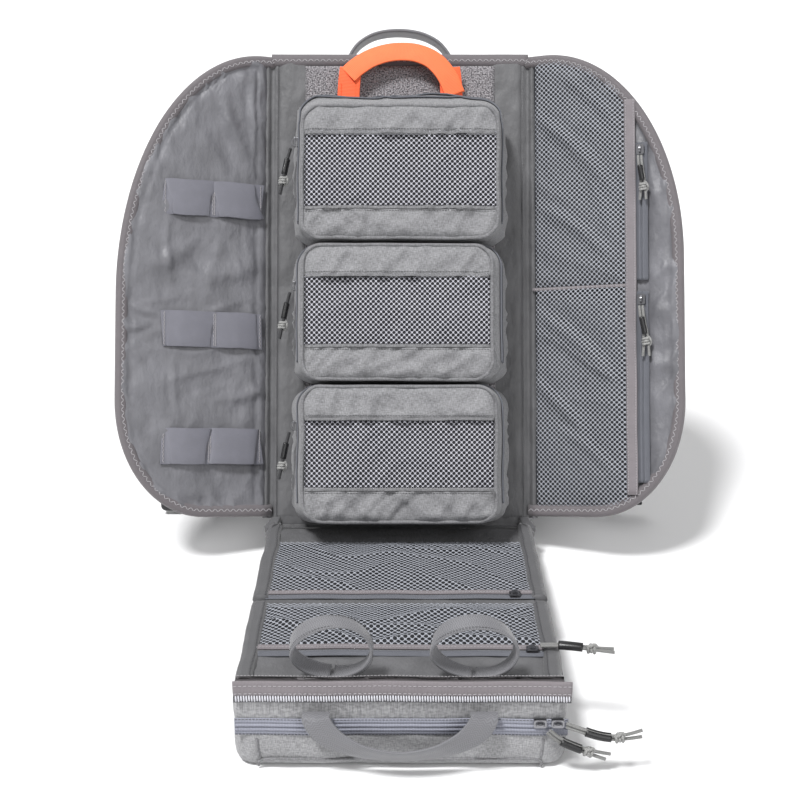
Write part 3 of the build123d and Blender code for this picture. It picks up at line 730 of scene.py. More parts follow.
def make_pull(name, place, aside, body, route):
    """Both strands of a pull, their knot and their sleeve."""
    sides = []
    for half in (-0.5, 0.5):
        points = [Vector(p) + Vector(aside) * (half * STRAND_GAP) for p in route]
        points[-1] += Vector(aside) * (half * TAIL_SPLAY)
        sides.append([world(place, p) for p in points])
    middle = [(a + b) / 2 for a, b in zip(*sides)]
    line = spline_length(middle)[1]
    count = len(line)
    knot = make_knot(name + "_knot", line, round(count * KNOT_AT), body, CORD_GREY)
    sleeve = make_sleeve(name + "_sleeve", line, round(count * SLEEVE_FROM),
                         round(count * SLEEVE_TO), body)
    for index, points in enumerate(sides):
        strand = make_strand(f"{name}_strand_{index}", points, STRAND_WIDTH / 2 * MM,
                             CORD_DARK if "pouch" in name else CORD_GREY)
        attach(strand, body)
        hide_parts(name)
        round(spline_length(points)[0], 4)


make_camera()
for _name, (_place, _aside, _body, _route) in PULLS.items():
    make_pull(_name, _place, _aside, _body, _route)
make_stage()


# ---------------------------------------------------------------- shared ways of making cloth
def edge_distances(points, outline):
    """Distance of each 2-D point from a closed outline."""
    place = np.array([(p[0], p[1]) for p in points], float)
    start = np.array([(p[0], p[1]) for p in outline], float)
    run = np.roll(start, -1, axis=0) - start
    offset = place[:, None, :] - start[None, :, :]
    size = np.maximum((run ** 2).sum(axis=1), 1e-9)
    share = np.clip((offset * run).sum(axis=2) / size, 0, 1)
    gap = offset - share[:, :, None] * run
    return np.sqrt((gap ** 2).sum(axis=2)).min(axis=1)


def inset(path, distance):
    """An open 2-D path moved sideways, to its left for a positive distance."""
    found = []
    for i, point in enumerate(path):
        before, after = path[max(i - 1, 0)], path[min(i + 1, len(path) - 1)]
        way = Vector((after[0] - before[0], after[1] - before[1])).normalized()
        found.append((point[0] - way.y * distance, point[1] + way.x * distance))
    return found


def slab(shape, plan, front, back, parts=None, rim=-3.5, soften=9.0):
    """A padded panel: a front and a back skin over the same plan of points, joined at its edge.
    front and back give each skin's height from (x, y, distance to the edge), and parts gives the
    front's material index from (x, y). The back has the next index."""
    outline = ([row[0] for row in plan] + plan[-1][1:] + [row[-1] for row in plan[-2::-1]]
               + plan[0][-2:0:-1])
    flat = [p for row in plan for p in row]
    distances = edge_distances(flat, outline)
    wide = len(plan[0])
    skins = ([], [])
    for i, row in enumerate(plan):
        rows = ([], [])
        for j, (x, y) in enumerate(row):
            distance = distances[i * wide + j]
            share = ease(distance, soften)
            for skin, height in enumerate((front, back)):
                rows[skin].append(Vector((x, y, rim + (height(x, y, distance) - rim) * share)))
        skins[0].append(rows[0])
        skins[1].append(rows[1])
    cloth = [[(x, y) for x, y in row] for row in plan]

    def part_at(i, j):
        (x1, y1), (x2, y2) = plan[i][j], plan[i + 1][j + 1]
        return parts((x1 + x2) / 2, (y1 + y2) / 2)

    if parts:
        for index in sorted(set(parts(x, y) for row in plan[:-1] for x, y in row[:-1])):
            shape.grid(skins[0], False, index, lambda i, j, index=index: part_at(i, j) == index,
                       cloth)
    else:
        shape.grid(skins[0], False, 0, None, cloth)
    last = max(shape.parts) + 1
    shape.grid([list(reversed(row)) for row in skins[1]], False, last, None,
               [list(reversed(row)) for row in cloth])
    return last


def lattice(shape, surface, inside, box, pitch, hole, rise=0.3, part=0):
    """Open mesh: yarn round holes in staggered rows, laid on surface(x, y)."""
    half = pitch / 2
    (x_low, y_low), (x_high, y_high) = box
    known = {}

    def yarn(key):
        if key not in known:
            x, y = x_low + key[0] * half / 2, y_low + key[1] * half / 2
            known[key] = len(shape.points)
            shape.points.append(Vector((x, y, surface(x, y) + rise)))
        return known[key]

    for i in range(int((x_high - x_low) / half) + 1):
        for j in range(int((y_high - y_low) / half) + 1):
            x, y = x_low + i * half, y_low + j * half
            if (i + j) % 2 or not inside(x, y):
                continue
            outer = [yarn((2 * i + a, 2 * j + b)) for a, b in
                     ((2, 0), (1, 1), (0, 2), (-1, 1), (-2, 0), (-1, -1), (0, -2), (1, -1))]
            inner = len(shape.points)
            for k in range(8):
                hx = x + hole / 2 * math.cos(TAU * k / 8)
                hy = y + hole / 2 * math.sin(TAU * k / 8)
                shape.points.append(Vector((hx, hy, surface(hx, hy))))
            for k in range(8):
                n = (k + 1) % 8
                face = (outer[k], outer[n], inner + n, inner + k)
                shape.faces.append(face)
                shape.cloth.append([(shape.points[p].x, shape.points[p].y) for p in face])
                shape.parts.append(part)


def zipper_section(width, ridge=1.5, spacing=2.0, base=0.7):
    """A closed coil zipper seen from its smooth side: two ridges and a groove on a flat tape."""
    half = width / 2
    top = [(-half, base), (-spacing - 1.9, base), (-spacing - 1.1, base + ridge * 0.75),
           (-spacing, base + ridge), (-0.9, base + ridge * 0.8), (-0.35, base * 0.6),
           (0.35, base * 0.6), (0.9, base + ridge * 0.8), (spacing, base + ridge),
           (spacing + 1.1, base + ridge * 0.75), (spacing + 1.9, base), (half, base)]
    return top + [(half, 0.0), (-half, 0.0)]


# ---------------------------------------------------------------- wings
def wing_profile(side):
    """(height, outer x) up a wing's edge."""
    low_x, low_y = LOW_CORNER
    top_x, top_y = TOP_CORNER[side]
    low_turns, top_turns, straight = 24, 56, 40
    found = []
    for k in range(low_turns):
        turn = math.pi / 2 * k / low_turns
        found.append((WING_LOW + low_y * (1 - math.cos(turn)),
                      WING_WIDTH - low_x + low_x * math.sin(turn)))
    for t in spread(WING_LOW + low_y, WING_TOP - top_y, straight)[:-1]:
        found.append((t, WING_WIDTH))
    for k in range(top_turns + 1):
        turn = math.pi / 2 * k / top_turns
        found.append((WING_TOP - top_y + top_y * math.sin(turn),
                      WING_WIDTH - top_x + top_x * math.cos(turn)))
    return found


def wing_rim(side):
    """A wing's bound edge from the hinge's foot round to its top, as (x, y)."""
    profile = wing_profile(side)
    start = [(side * x, WING_LOW) for x in spread(-1.0, WING_WIDTH - LOW_CORNER[0], 6)[:-1]]
    edge = [(side * x, t) for t, x in profile]
    end = [(side * x, WING_TOP) for x in
           spread(WING_WIDTH - TOP_CORNER[side][0], -2.5, 2)[1:]]
    return start + edge + end


RIM_WIDTH = 13.0
POCKET_X, POCKET_TOP = 117, 504  # where painted shade stands in for the shadowy inside of the right wing's mesh pockets
# single folds: from (x, y) to (x, y), their rise and half width
WING_FOLDS = ((141, 269, 76, 305, 5.5, 8.0), (92, 262, 6, 281, 5.0, 9.0), (66, 129, 6, 149, 4.5, 7.0),
              (150, 372, 112, 386, 3.0, 4.5), (156, 352, 120, 352, 3.0, 4.5),
              (158, 232, 124, 222, 3.2, 4.5), (160, 205, 130, 214, 2.8, 4.0),
              (60, 478, 30, 380, 3.2, 8.0), (24, 496, 16, 396, 3.6, 6.0),
              (118, 330, 112, 246, 2.4, 4.0), (108, 190, 106, 112, 2.2, 4.0))
MESH_FOLDS = ((4, 452, 104, 352, 6.0, 8.0), (8, 350, 96, 286, 4.5, 8.0), (40, 486, 108, 420, 4.0, 7.0),
              (6, 236, 104, 150, 5.5, 9.0), (4, 160, 70, 92, 4.5, 7.0), (30, 110, 104, 52, 4.0, 7.0))


def slant_folds(folds, x, y):
    """Height of single folds, each from one point to another with its rise and half width."""
    total = 0.0
    for x1, y1, x2, y2, rise, wide in folds:
        run_x, run_y = x2 - x1, y2 - y1
        length = math.hypot(run_x, run_y)
        share = ((x - x1) * run_x + (y - y1) * run_y) / length ** 2
        off = ((x - x1) * run_y - (y - y1) * run_x) / length
        off += 6.0 * math.sin(math.pi * share) * (wide / 8.0)
        if -0.3 < share < 1.3 and abs(off) < 3 * wide:
            along = math.exp(-((share - 0.5) / 0.42) ** 4)
            total += rise * along * (off / wide + 0.5) * math.exp(-(off / wide) ** 2)
    return total


def wing_height(side, x, y, distance):
    """Height of a wing's front skin, x measured outwards from the hinge."""
    x = abs(x)
    pull = math.exp(-max(0.0, distance - RIM_WIDTH) / 16.0)
    seam = math.exp(-((distance - RIM_WIDTH - 1.5) / 2.0) ** 2)
    z = 0.9 + 1.6 * swell(x, y, 3 + side, 90) + 0.9 * swell(x, y, 5 + side, 34)
    if side < 0:
        z += 3.8 * creases(x, y, 11, 46, 3.2, 14, 2.0) * (1 - pull)
        z += 3.0 * creases(x, y, 12, 17, 2.6, 62, 3.0) * pull
        z += 2.0 * creases(x, y, 14, 30, 3.0, -28, 3.0) * (1 - pull)
        z += slant_folds(WING_FOLDS, x, y)
    else:
        strip = ease(x - 131.0, 8.0)
        z += (3.6 * creases(x, y, 21, 17, 2.4, 52, 2.2) + 0.6) * strip
        z -= 1.2 * (1 - strip)
    return z - 1.6 * seam


def wing_back_height(side, x, y, distance):
    return (-8.2 - 1.2 * swell(x, y, 31 + side, 70) - 0.8 * creases(abs(x), y, 33, 36, 3, 70))


def bind_edge(shape, path, z, width=RIM_WIDTH, thickness=9.6, part=0, thread=1, seed=0):
    """Folded tape over an edge given by its outer path, with a zigzag seam along its middle."""
    middle = inset(path, width / 2 - 0.6)
    shape.sweep([(x, y, z + 0.5 * swell(x, y, seed, 30)) for x, y in middle], OUT,
                flat_section(width, thickness, 0.8), False, part)
    seam = [Vector((x, y, z + thickness / 2 + 0.1 + 0.5 * swell(x, y, seed, 30)))
            for x, y in inset(path, width / 2)]
    shape.stitches(seam, OUT, 3.3, 4.1, math.radians(44), 0.45, 0.1, thread)


def make_wing(side, name):
    """A wing's padded shell and the binding round it."""
    columns = 56
    plan = [[(side * (3.0 + (outer - 3.0) * c / columns), t) for c in range(columns + 1)]
            for t, outer in wing_profile(side)]
    shape = Shape()

    def in_pocket(x, y):
        return int(x < POCKET_X and y < POCKET_TOP)

    slab(shape, plan, lambda x, y, d: wing_height(side, x, y, d),
         lambda x, y, d: wing_back_height(side, x, y, d), in_pocket if side > 0 else None)
    skins = (LINER, POCKET_PAINTED_SHADE, HEATHER_PAINTED_SHADE) if side > 0 else (LINER, HEATHER_PAINTED_SHADE)
    wing = shape.make(name + "_shell", WINGS[side], name, "liner", *skins)
    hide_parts(name)
    rim = wing_rim(side)
    tape = Shape()
    bind_edge(tape, facing([rim], side)[0], -2.2, seed=side)
    tape.make(name + "_binding", WINGS[side], name, "liner", BINDING, THREAD)


LOOP_HEIGHTS = (348.0, 208.0, 84.5)
LOOP_RISES = (8.4, 7.6, 9.2)
LOOP_SHIFTS = (0, -2, 3)  # of the middle seam
LOOP_INNER, LOOP_OUTER, LOOP_WIDTH = 12.0, 121.0, 38.0


def make_elastic(index, height):
    """One elastic strip: sewn flat at both ends and in the middle, arched between."""
    rng = random.Random(40 + index)
    low, high = 4.6, LOOP_RISES[index]
    middle = (LOOP_INNER + LOOP_OUTER) / 2 + LOOP_SHIFTS[index]
    runs = [(LOOP_INNER, low), (LOOP_INNER + 5, low + 0.2), (LOOP_INNER + 9, high - 1.2),
            (LOOP_INNER + 24, high), (middle - 17, high - 0.3), (middle - 5, high - 1.4),
            (middle - 1.6, low + 1.2), (middle + 1.6, low + 1.2), (middle + 5, high - 1.2),
            (middle + 18, high), (LOOP_OUTER - 22, high - 0.2), (LOOP_OUTER - 10, high - 1.9),
            (LOOP_OUTER - 5, low + 0.2), (LOOP_OUTER, low)]
    path = bent([(-s, height + rng.uniform(-0.5, 0.5), z) for s, z in runs], 70)
    shape = Shape().sweep(path, OUT, flat_section(LOOP_WIDTH, 1.5, 0.6))
    half = LOOP_WIDTH / 2 - 1.5
    for s, z in ((LOOP_INNER + 2.2, low + 0.9), (middle, low + 2.0), (LOOP_OUTER - 2.2, low + 0.9)):
        for shift in (-0.9, 0.9) if s == middle else (0.0,):
            seam = [(-s + shift, height - half, z), (-s + shift, height + half, z)]
            shape.stitches(seam, OUT, 2.2, 2.4, math.radians(24), 0.38, 0.2, 1)
    strip = shape.make(f"elastic_strip_{index}", WINGS[-1], "left_wing", "elastic",
                       ELASTIC, THREAD)
    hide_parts("left_loops")


MESH_SPLIT = 254.0
WING_MESH_X, WING_MESH_LOW, WING_MESH_MARGIN = (4.5, 111.0), 21.0, 9.0
WING_MESH_PITCH, WING_MESH_HOLE = 5.2, 3.35


def wing_mesh_height(x, y):
    """The pocket mesh of the right wing: slack, with slanting folds."""
    edge = min(x - 3.0, 110.0 - x, y - 22.0, 503.0 - y, abs(y - MESH_SPLIT) + 2.0)
    z = 2.2 + 2.6 * ease(edge, 26.0)
    z += 2.4 * creases(x, y, 51, 40, 3.0, -38, 1.6) * ease(edge, 18.0)
    z += (slant_folds(MESH_FOLDS, x, y) + 1.5) * ease(edge, 14.0)
    return z + 1.3 * swell(x, y, 52, 26) * ease(edge, 18.0)


def make_wing_mesh():
    """Open mesh over the right wing's two pockets and the seam between them."""
    rim = wing_rim(1)
    outline = rim + [(3.0, WING_TOP - 8), (3.0, WING_LOW + 8)]
    for index, (low, high) in enumerate(((WING_MESH_LOW, MESH_SPLIT), (MESH_SPLIT, POCKET_TOP))):
        box = ((WING_MESH_X[0], low), (WING_MESH_X[1], high))
        half = WING_MESH_PITCH / 2
        wanted = []
        for i in range(int((box[1][0] - box[0][0]) / half) + 2):
            for j in range(int((box[1][1] - box[0][1]) / half) + 2):
                wanted.append((box[0][0] + i * half, box[0][1] + j * half))
        far = dict(zip([(round(x, 3), round(y, 3)) for x, y in wanted],
                       edge_distances(wanted, outline)))

        def room(x, y):
            return (far.get((round(x, 3), round(y, 3)), 0.0) > WING_MESH_MARGIN
                    and x < wing_limit(1, y) and low < y < high)

        shape = Shape()
        lattice(shape, wing_mesh_height, room, box, WING_MESH_PITCH, WING_MESH_HOLE)
        pocket = shape.make(f"wing_mesh_{index}", WINGS[1], "right_wing", "mesh", MESH_GREY)
        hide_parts("right_mesh")
    seam = [(x, MESH_SPLIT, wing_mesh_height(x, MESH_SPLIT) + 0.4) for x in spread(5, 109, 30)]
    shape = Shape().sweep(seam, OUT, flat_section(3.2, 0.8))
    shape.stitches(moved(seam, 0, 0, 0.5), OUT, 2.6, 2.4, 0.6, 0.35, 0.1, 1)
    shape.make("wing_mesh_seam", WINGS[1], "right_wing", "mesh", GROSGRAIN, THREAD)


def wing_limit(side, y):
    """Outer x of a wing's edge at a height."""
    profile = wing_profile(side)
    for (low, x_low), (high, x_high) in zip(profile, profile[1:]):
        if low <= y <= high:
            return x_low + (x_high - x_low) * (y - low) / max(high - low, 1e-6)
    return 0.0


BAND_X, CHAIN_X = 113.5, 125.0
BAND_SPAN = (33, 452)
CHAIN_SPANS = ((46, 247), (259, 405))


def make_wing_zippers():
    """The band beside the mesh pockets and their two vertical zippers."""
    shape = Shape()
    band = [(BAND_X + 0.6 * swell(y, 0, 60, 60), y, 3.6 + 0.7 * swell(0, y, 61, 40))
            for y in spread(*BAND_SPAN, 70)]
    shape.sweep(band, OUT, flat_section(11.5, 1.6))
    for shift in (-4.2, 4.2):
        shape.stitches(moved(band, shift, 0, 0.9), OUT, 2.9, 2.2, 0.1, 0.3, 0.1, 1)
    shape.make("wing_band", WINGS[1], "right_wing", "webbing", GROSGRAIN, THREAD)
    for index, (low, high) in enumerate(CHAIN_SPANS):
        path = [(CHAIN_X + 0.5 * swell(0, y, 64, 50), y, 2.0 + 0.5 * swell(3, y, 63, 36))
                for y in spread(low, high, 60)]
        strip = Shape().sweep(path, OUT, zipper_section(14.0))
        made = strip.make(f"wing_zipper_{index}", WINGS[1], "right_wing", "zipper", ZIP_TAPE)
        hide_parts("right_zippers")


HINGE_REACH = 8.5


def make_hinge_strip(side, name):
    """Lining that runs from the back panel onto a wing. It is sunk along the fold between them
    and at both its edges, so that no light shows beside it when the wing folds."""
    back, wing = BACK, WINGS[side]
    rows = []
    for t in spread(8, 508, 90):
        row = []
        for place in spread(-1.0, 1.0, 12):
            reach = abs(place) * HINGE_REACH
            sink = 2.6 * math.exp(-(place / 0.3) ** 2) + 0.5 * swell(place * 9, t, 70 + side, 24)
            sink += 3.2 * ease(abs(place) - 0.72, 0.28)
            if place < 0:
                point = world(back, (side * (HINGE_X - 1.0 - reach), t, 0.6 - sink))
            else:
                point = world(wing, (side * (reach - 0.5), t, 0.6 - sink))
            row.append(point / MM)
        rows.append(row)
    shape = Shape().grid(facing(rows, side))
    made = shape.make(name + "_fold", Matrix.Identity(4), None, "liner", LINER_PLAIN)
    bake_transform(made)


# ---------------------------------------------------------------- back panel
def back_height(x, y, distance):
    """The panel's front: flat under the loop field and creased in the strips beside it."""
    side = ease(abs(x) - 100.0, 8.0)
    z = 0.3 * (1 - side)
    z += side * (1.2 + 1.4 * creases(x, y, 81, 22, 2.6, 78, 2.4) + 0.9 * swell(x, y, 82, 28))
    return z


PANEL_HALF, PANEL_LOW, PANEL_TOP = 136.5, 2.5, 512.5
FIELD_HALF, FIELD_LOW, FIELD_TOP = 103, 5, 500


def make_back_panel():
    """The panel, its top binding, the loop field and the seams beside it."""
    plan = [[(x, t) for x in spread(-PANEL_HALF, PANEL_HALF, 62)]
            for t in spread(PANEL_LOW, PANEL_TOP, 110)]
    shape = Shape()
    slab(shape, plan, back_height,
         lambda x, y, d: -14.2 - 0.9 * swell(x, y, 84, 60), None, -6.0, 7.0)
    panel = shape.make("back_shell", BACK, "back", "heather", LINER_PLAIN, HEATHER_PAINTED_SHADE)
    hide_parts("back_panel")
    tape = Shape()
    top = [(-x, 513.5) for x in spread(-140, 140, 50)]
    bind_edge(tape, top, -4.2, 15.0, 12.5, seed=8)
    tape.make("back_binding", BACK, "back", "heather", BINDING, THREAD)
    field = Shape()
    rows = [[Vector((x, t, 1.0 + 0.25 * swell(x, t, 86, 30)))
             for x in spread(-FIELD_HALF, FIELD_HALF, 40)]
            for t in spread(FIELD_LOW, FIELD_TOP, 90)]
    field.grid(rows)
    pile = field.make("loop_pile", BACK, "back", "hook_field", FIELD, solid=0.8)
    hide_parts("loop_field")
    seams = Shape()
    for side in (-1, 1):
        for x in (101.5, 133.0):
            path = [(side * x, t, back_height(side * x, t, 9) + 1.0) for t in spread(8, 498, 90)]
            seams.stitches(path, OUT, 3.2, 2.3, 0.0, 0.3, 0.1, 0)
    seams.make("back_seams", BACK, "back", "heather", THREAD_DARK)


for _side, _name in ((-1, "left_wing"), (1, "right_wing")):
    make_wing(_side, _name)
    make_hinge_strip(_side, _name)
for _index, _height in enumerate(LOOP_HEIGHTS):
    make_elastic(_index, _height)
make_wing_mesh()
make_wing_zippers()
make_back_panel()


# ---------------------------------------------------------------- gusset and front panel
FLAP_HALF = 137.0
MESH_HALF = 128.5
FLAP_PITCH, FLAP_HOLE = 6.2, 4.1
FLAP_POCKETS = ((52, 181), (197, 291))  # where painted shade stands in for their shadowy insides, as distances from the fold


def flap_height(x, y, distance):
    """Lining of the folded-down front, y running towards the fold and so negative."""
    v = -y
    z = 0.5 + 0.9 * swell(x, v, 91, 40)
    if v < 60 or v > 300:
        z += 1.6 * creases(x, v, 92, 20, 3.4, 4, 2.6) * ease(distance, 14.0)
    return z


def make_flap(name, body, node, start, end):
    """One panel of the folded-down front, between two distances from the fold."""
    plan = [[(x, y) for x in spread(-FLAP_HALF, FLAP_HALF, 60)]
            for y in spread(-end, -start, round((end - start) / 4.5))]
    shape = Shape()

    def in_pocket(x, y):
        return int(abs(x) < MESH_HALF and any(low < -y < high for low, high in FLAP_POCKETS))

    slab(shape, plan, flap_height, lambda x, y, d: -6.4 - 0.8 * swell(x, y, 94, 50), in_pocket,
         -2.5, 6.0)
    flap = shape.make(name, FRONT, body, "heather", LINER_PLAIN, POCKET_PAINTED_SHADE, HEATHER_PAINTED_SHADE)
    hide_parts(node)


def make_flap_rolls(name, body, start, end, seed):
    """The dark rolled binding down both sides of the folded-down front."""
    shape = Shape()
    for side in (-1, 1):
        path = [Vector((side * (132.8 + 1.6 * swell(v, 0, seed + side, 40)), -v,
                        0.6 + 1.2 * swell(v, 3, seed, 22))) for v in spread(start, end, 60)]
        shape.sweep(path, OUT, flat_section(16.0, 11.0, 0.95))
        shape.stitches(moved(path, -side * 4.6, 0, 5.4), OUT, 3.0, 2.6, 0.5, 0.33, 0.1, 1)
    shape.make(name, FRONT, body, "heather", BINDING_DARK, THREAD_DARK)


def gusset_mesh_height(x, y):
    """Slack pocket mesh on the gusset: it bellies up in the middle."""
    v = -y
    edge = min(MESH_HALF - abs(x), v - 53.0, 180.0 - v)
    belly = math.exp(-((x - 10) / 75.0) ** 2) * ease(min(v - 53.0, 180 - v), 60.0)
    z = 2.0 + 4.2 * belly + 2.6 * creases(x, v, 101, 34, 3.2, 16, 2.0) * ease(edge, 24.0)
    return z + 1.4 * swell(x, v, 102, 30) * ease(edge, 14.0)


def front_mesh_height(x, y):
    """Pocket mesh on the front panel, slack and creased across."""
    v = -y
    edge = min(MESH_HALF - abs(x), v - 200.0, 292.0 - v)
    z = 1.8 + 3.2 * ease(edge, 40.0) + 3.2 * creases(x, v, 103, 30, 4.0, 6, 2.0) * ease(edge, 20.0)
    return z + 1.2 * swell(x, v, 104, 26) * ease(edge, 14.0)


def make_flap_mesh(name, body, node, surface, start, end):
    """The mesh over one pocket of the folded-down front."""
    shape = Shape()
    box = ((-MESH_HALF, -end), (MESH_HALF, -start))
    lattice(shape, surface, lambda x, y: True, box, FLAP_PITCH, FLAP_HOLE)
    pocket = shape.make(name, FRONT, body, "mesh", MESH_GREY)
    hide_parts(node)


def flap_line(distance, height, seed):
    """A slightly wavy line across the front at a distance from the fold."""
    return [(x, -distance + 0.8 * swell(x, 0, seed + 1, 70), height + 0.9 * swell(x, 0, seed, 50))
            for x in spread(-MESH_HALF, MESH_HALF, 70)]


def make_flap_zipper(name, body, node, band, chain, seed):
    """A grosgrain band across the front, with a coil zipper along its near side."""
    shape = Shape()
    strip = flap_line(sum(band) / 2, 3.8, seed)
    shape.sweep(strip, OUT, flat_section(band[1] - band[0], 1.6))
    shape.stitches(moved(strip, 0, -2.0, 1.0), OUT, 2.9, 2.2, 0.1, 0.3, 0.1, 1)
    made = shape.make(name + "_band", FRONT, body, "webbing", GROSGRAIN, THREAD)
    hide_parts(node)
    coil = Shape().sweep(flap_line(sum(chain) / 2, 2.2, seed), OUT,
                         zipper_section(chain[1] - chain[0], 1.2, 1.3, 0.6))
    made = coil.make(name + "_zipper", FRONT, body, "zipper", ZIP_TAPE)
    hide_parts(node)


RING_MIDDLES = (-58.0, 63.0)
RING_RADIUS, RING_DISTANCE = 31.5, 340.0
RING_LEAN = math.radians(20.0)
RING_WIDENING = (1.04, 1.1)
RING_STEPS = 64


def make_ring(index, middle):
    """A loop of webbing that leans towards the wall, its two ends sewn to the panel."""
    lean = Matrix.Rotation(RING_LEAN, 4, "X")
    foot = Vector((0, -RING_DISTANCE + 7.0, 5.2))
    path, outward = [], []
    for k in range(RING_STEPS + 1):
        turn = -math.pi / 2 + TAU * (0.985 * k / RING_STEPS + 0.0075)
        radius = RING_RADIUS * (1 + 0.035 * math.cos(2 * turn + index) - 0.02 * math.sin(turn * 3))
        upright = Vector((radius * math.cos(turn) * RING_WIDENING[index],
                          -7.0 + 1.6 * math.sin(turn * 2 + 0.6 * index),
                          RING_RADIUS + 0.6 + radius * math.sin(turn)))
        path.append(lean @ upright + foot + Vector((middle, 0, 0)))
        outward.append(lean @ Vector((math.cos(turn), 0.25 * math.sin(turn * 2 + index),
                                      math.sin(turn))))
    shape = Shape()
    shape.sweep(path, outward, flat_section(15.0, 2.6, 0.8, 0.2))
    for rim in (-6.2, 6.2):
        edge = [p + (lean @ Vector((0, rim, 0))) + o * 1.35 for p, o in zip(path, outward)]
        shape.stitches(edge, (0, 1, 0), 2.8, 2.0, 0.0, 0.32, 0.0, 1)
    base = [Vector((x, -RING_DISTANCE - 1, 2.4 + 0.4 * swell(x, 0, index, 9)))
            for x in spread(middle - 17, middle + 17, 10)]
    shape.sweep(base, OUT, flat_section(16.0, 1.6))
    ring = shape.make(f"webbing_ring_{index}", FRONT, "front", "webbing", WEBBING, THREAD_DARK)
    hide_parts("ring_loops")


def make_front_edge():
    """The raised, bound near end of the front panel."""
    shape = Shape()
    crest = [(x, -357.5 + 1.2 * swell(x, 0, 111, 60), 2.6 + 1.3 * swell(x, 1, 112, 55))
             for x in spread(-139, 139, 80)]
    shape.sweep(crest, OUT, flat_section(13.5, 10.5, 0.9))
    shape.stitches(moved(crest, 0, 3.4, 5.4), OUT, 3.0, 2.4, 0.2, 0.34, 0.1, 1)
    shape.make("front_crest", FRONT, "front", "webbing", BINDING, THREAD)


def under_flap(distance):
    """Height of the front panel's underside at a level distance from the fold."""
    return FOLD.z + distance * math.tan(SLOPE) - 6.0 / math.cos(SLOPE)


WALL_TOP = under_flap(POCKET_NEAR)
ADMIN_SPLIT = 44.0  # height of the admin pocket's zipper


def wall_wave(x, z):
    """How far the near wall stands off its plane."""
    return 0.9 * swell(x, z, 121, 60) + 0.5 * swell(x, z, 122, 24)


def make_wall_band():
    """The band along the top of the near wall and the main zipper's row of teeth under it."""
    tall, middle = 14.5, WALL_TOP + 9.6
    shape = Shape()
    path = [(x, middle - 1.0 * (x / 140) ** 2 + 1.1 * swell(x, 0, 124, 80),
             1.6 + wall_wave(x, middle)) for x in spread(-141, 145, 90)]
    shape.sweep(path, OUT, flat_section(tall, 2.4, 0.7, 0.8))
    for shift in (3.8, -3.9):
        shape.stitches(moved(path, 0, shift, 2.0), OUT, 4.2, 2.9, 0.12, 0.36, 0.1, 1)
    shape.make("wall_band", WALL, "front", "webbing", GROSGRAIN, THREAD)
    chain = Shape()
    low = [Vector((x, y - tall / 2 - 0.6, z + 0.9)) for x, y, z in path]
    chain.sweep(moved(low, 0, -2.2, -1.2), OUT, flat_section(8.0, 1.0), False, 2)
    points = evenly(low, 2.25)
    for i, point in enumerate(points[1:-1]):
        drop = 5.4 + 0.4 * math.sin(i * 2.1)
        chain.bar(point + Vector((0, 1.6, 0.4)), point + Vector((0.35, 1.6 - drop, 1.3)), 0.8, 1)
    made = chain.make("main_coil", WALL, "front", "zipper", ZIP_TAPE, ZIP_TEETH, THREAD_DARK)
    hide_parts("wall_zippers")


def half_zipper(name, body, sign):
    """One tape and coil of the admin pocket's closed zipper; sign 1 is its upper half."""
    shape = Shape()
    path = [(x, ADMIN_SPLIT + 0.8 * swell(x, 0, 126, 90), 1.2 + wall_wave(x, ADMIN_SPLIT))
            for x in spread(-141, 143, 90)]
    tape = [(0.0, 0.0), (0.0, 0.6), (0.35, 0.7), (1.0, 2.3), (2.1, 2.8), (3.2, 2.2), (3.9, 0.9),
            (4.8, 1.7), (6.0, 1.9), (6.9, 1.1), (8.4, 0.9), (8.4, 0.0)]
    section = [(-a * sign, b) for a, b in tape]
    shape.sweep(path, OUT, section if sign < 0 else section[::-1])
    edge = [Vector((p[0], p[1] + sign * 7.6, p[2] + 1.1)) for p in path]
    shape.stitches(edge, OUT, 3.0, 2.2, 0.0, 0.3, 0.1, 1)
    return shape.make(name, WALL, body, "zipper", ZIP_BLUE, THREAD_DARK)


# ---------------------------------------------------------------- admin pocket
POCKET_HALF = (142.0, (POCKET_NEAR - POCKET_FAR) / 2)
POCKET_MIDDLE = -(POCKET_NEAR + POCKET_FAR) / 2


def rounded_loop(half_x, half_y, radius, side_steps=40, turn_steps=8):
    """A closed rounded rectangle, anticlockwise from its lower right corner, as a list of
    (x, y, way outwards)."""
    found = []
    for sx, sy, start in ((1, -1, -90), (1, 1, 0), (-1, 1, 90), (-1, -1, 180)):
        cx, cy = sx * (half_x - radius), sy * (half_y - radius)
        for k in range(turn_steps + 1):
            turn = math.radians(start + 90 * k / turn_steps)
            way = (math.cos(turn), math.sin(turn))
            found.append((cx + radius * way[0], cy + radius * way[1], way))
        run = 2 * ((half_y if sx != sy else half_x) - radius)
        base = found[-1]
        for k in range(1, side_steps):
            share = run * k / side_steps
            found.append((base[0] - way[1] * share, base[1] + way[0] * share, way))
    return found


def cap_rows(loop_points, rings, height):
    """Rows that close a loop towards its middle. height(x, y, share) lifts each point."""
    middle = sum(loop_points, Vector()) / len(loop_points)
    rows = []
    for k in range(rings + 1):
        share = k / rings
        row = []
        for p in loop_points:
            q = p.lerp(middle, share)
            row.append(Vector((q.x, q.y, height(q.x, q.y, share))))
        rows.append(row)
    return rows


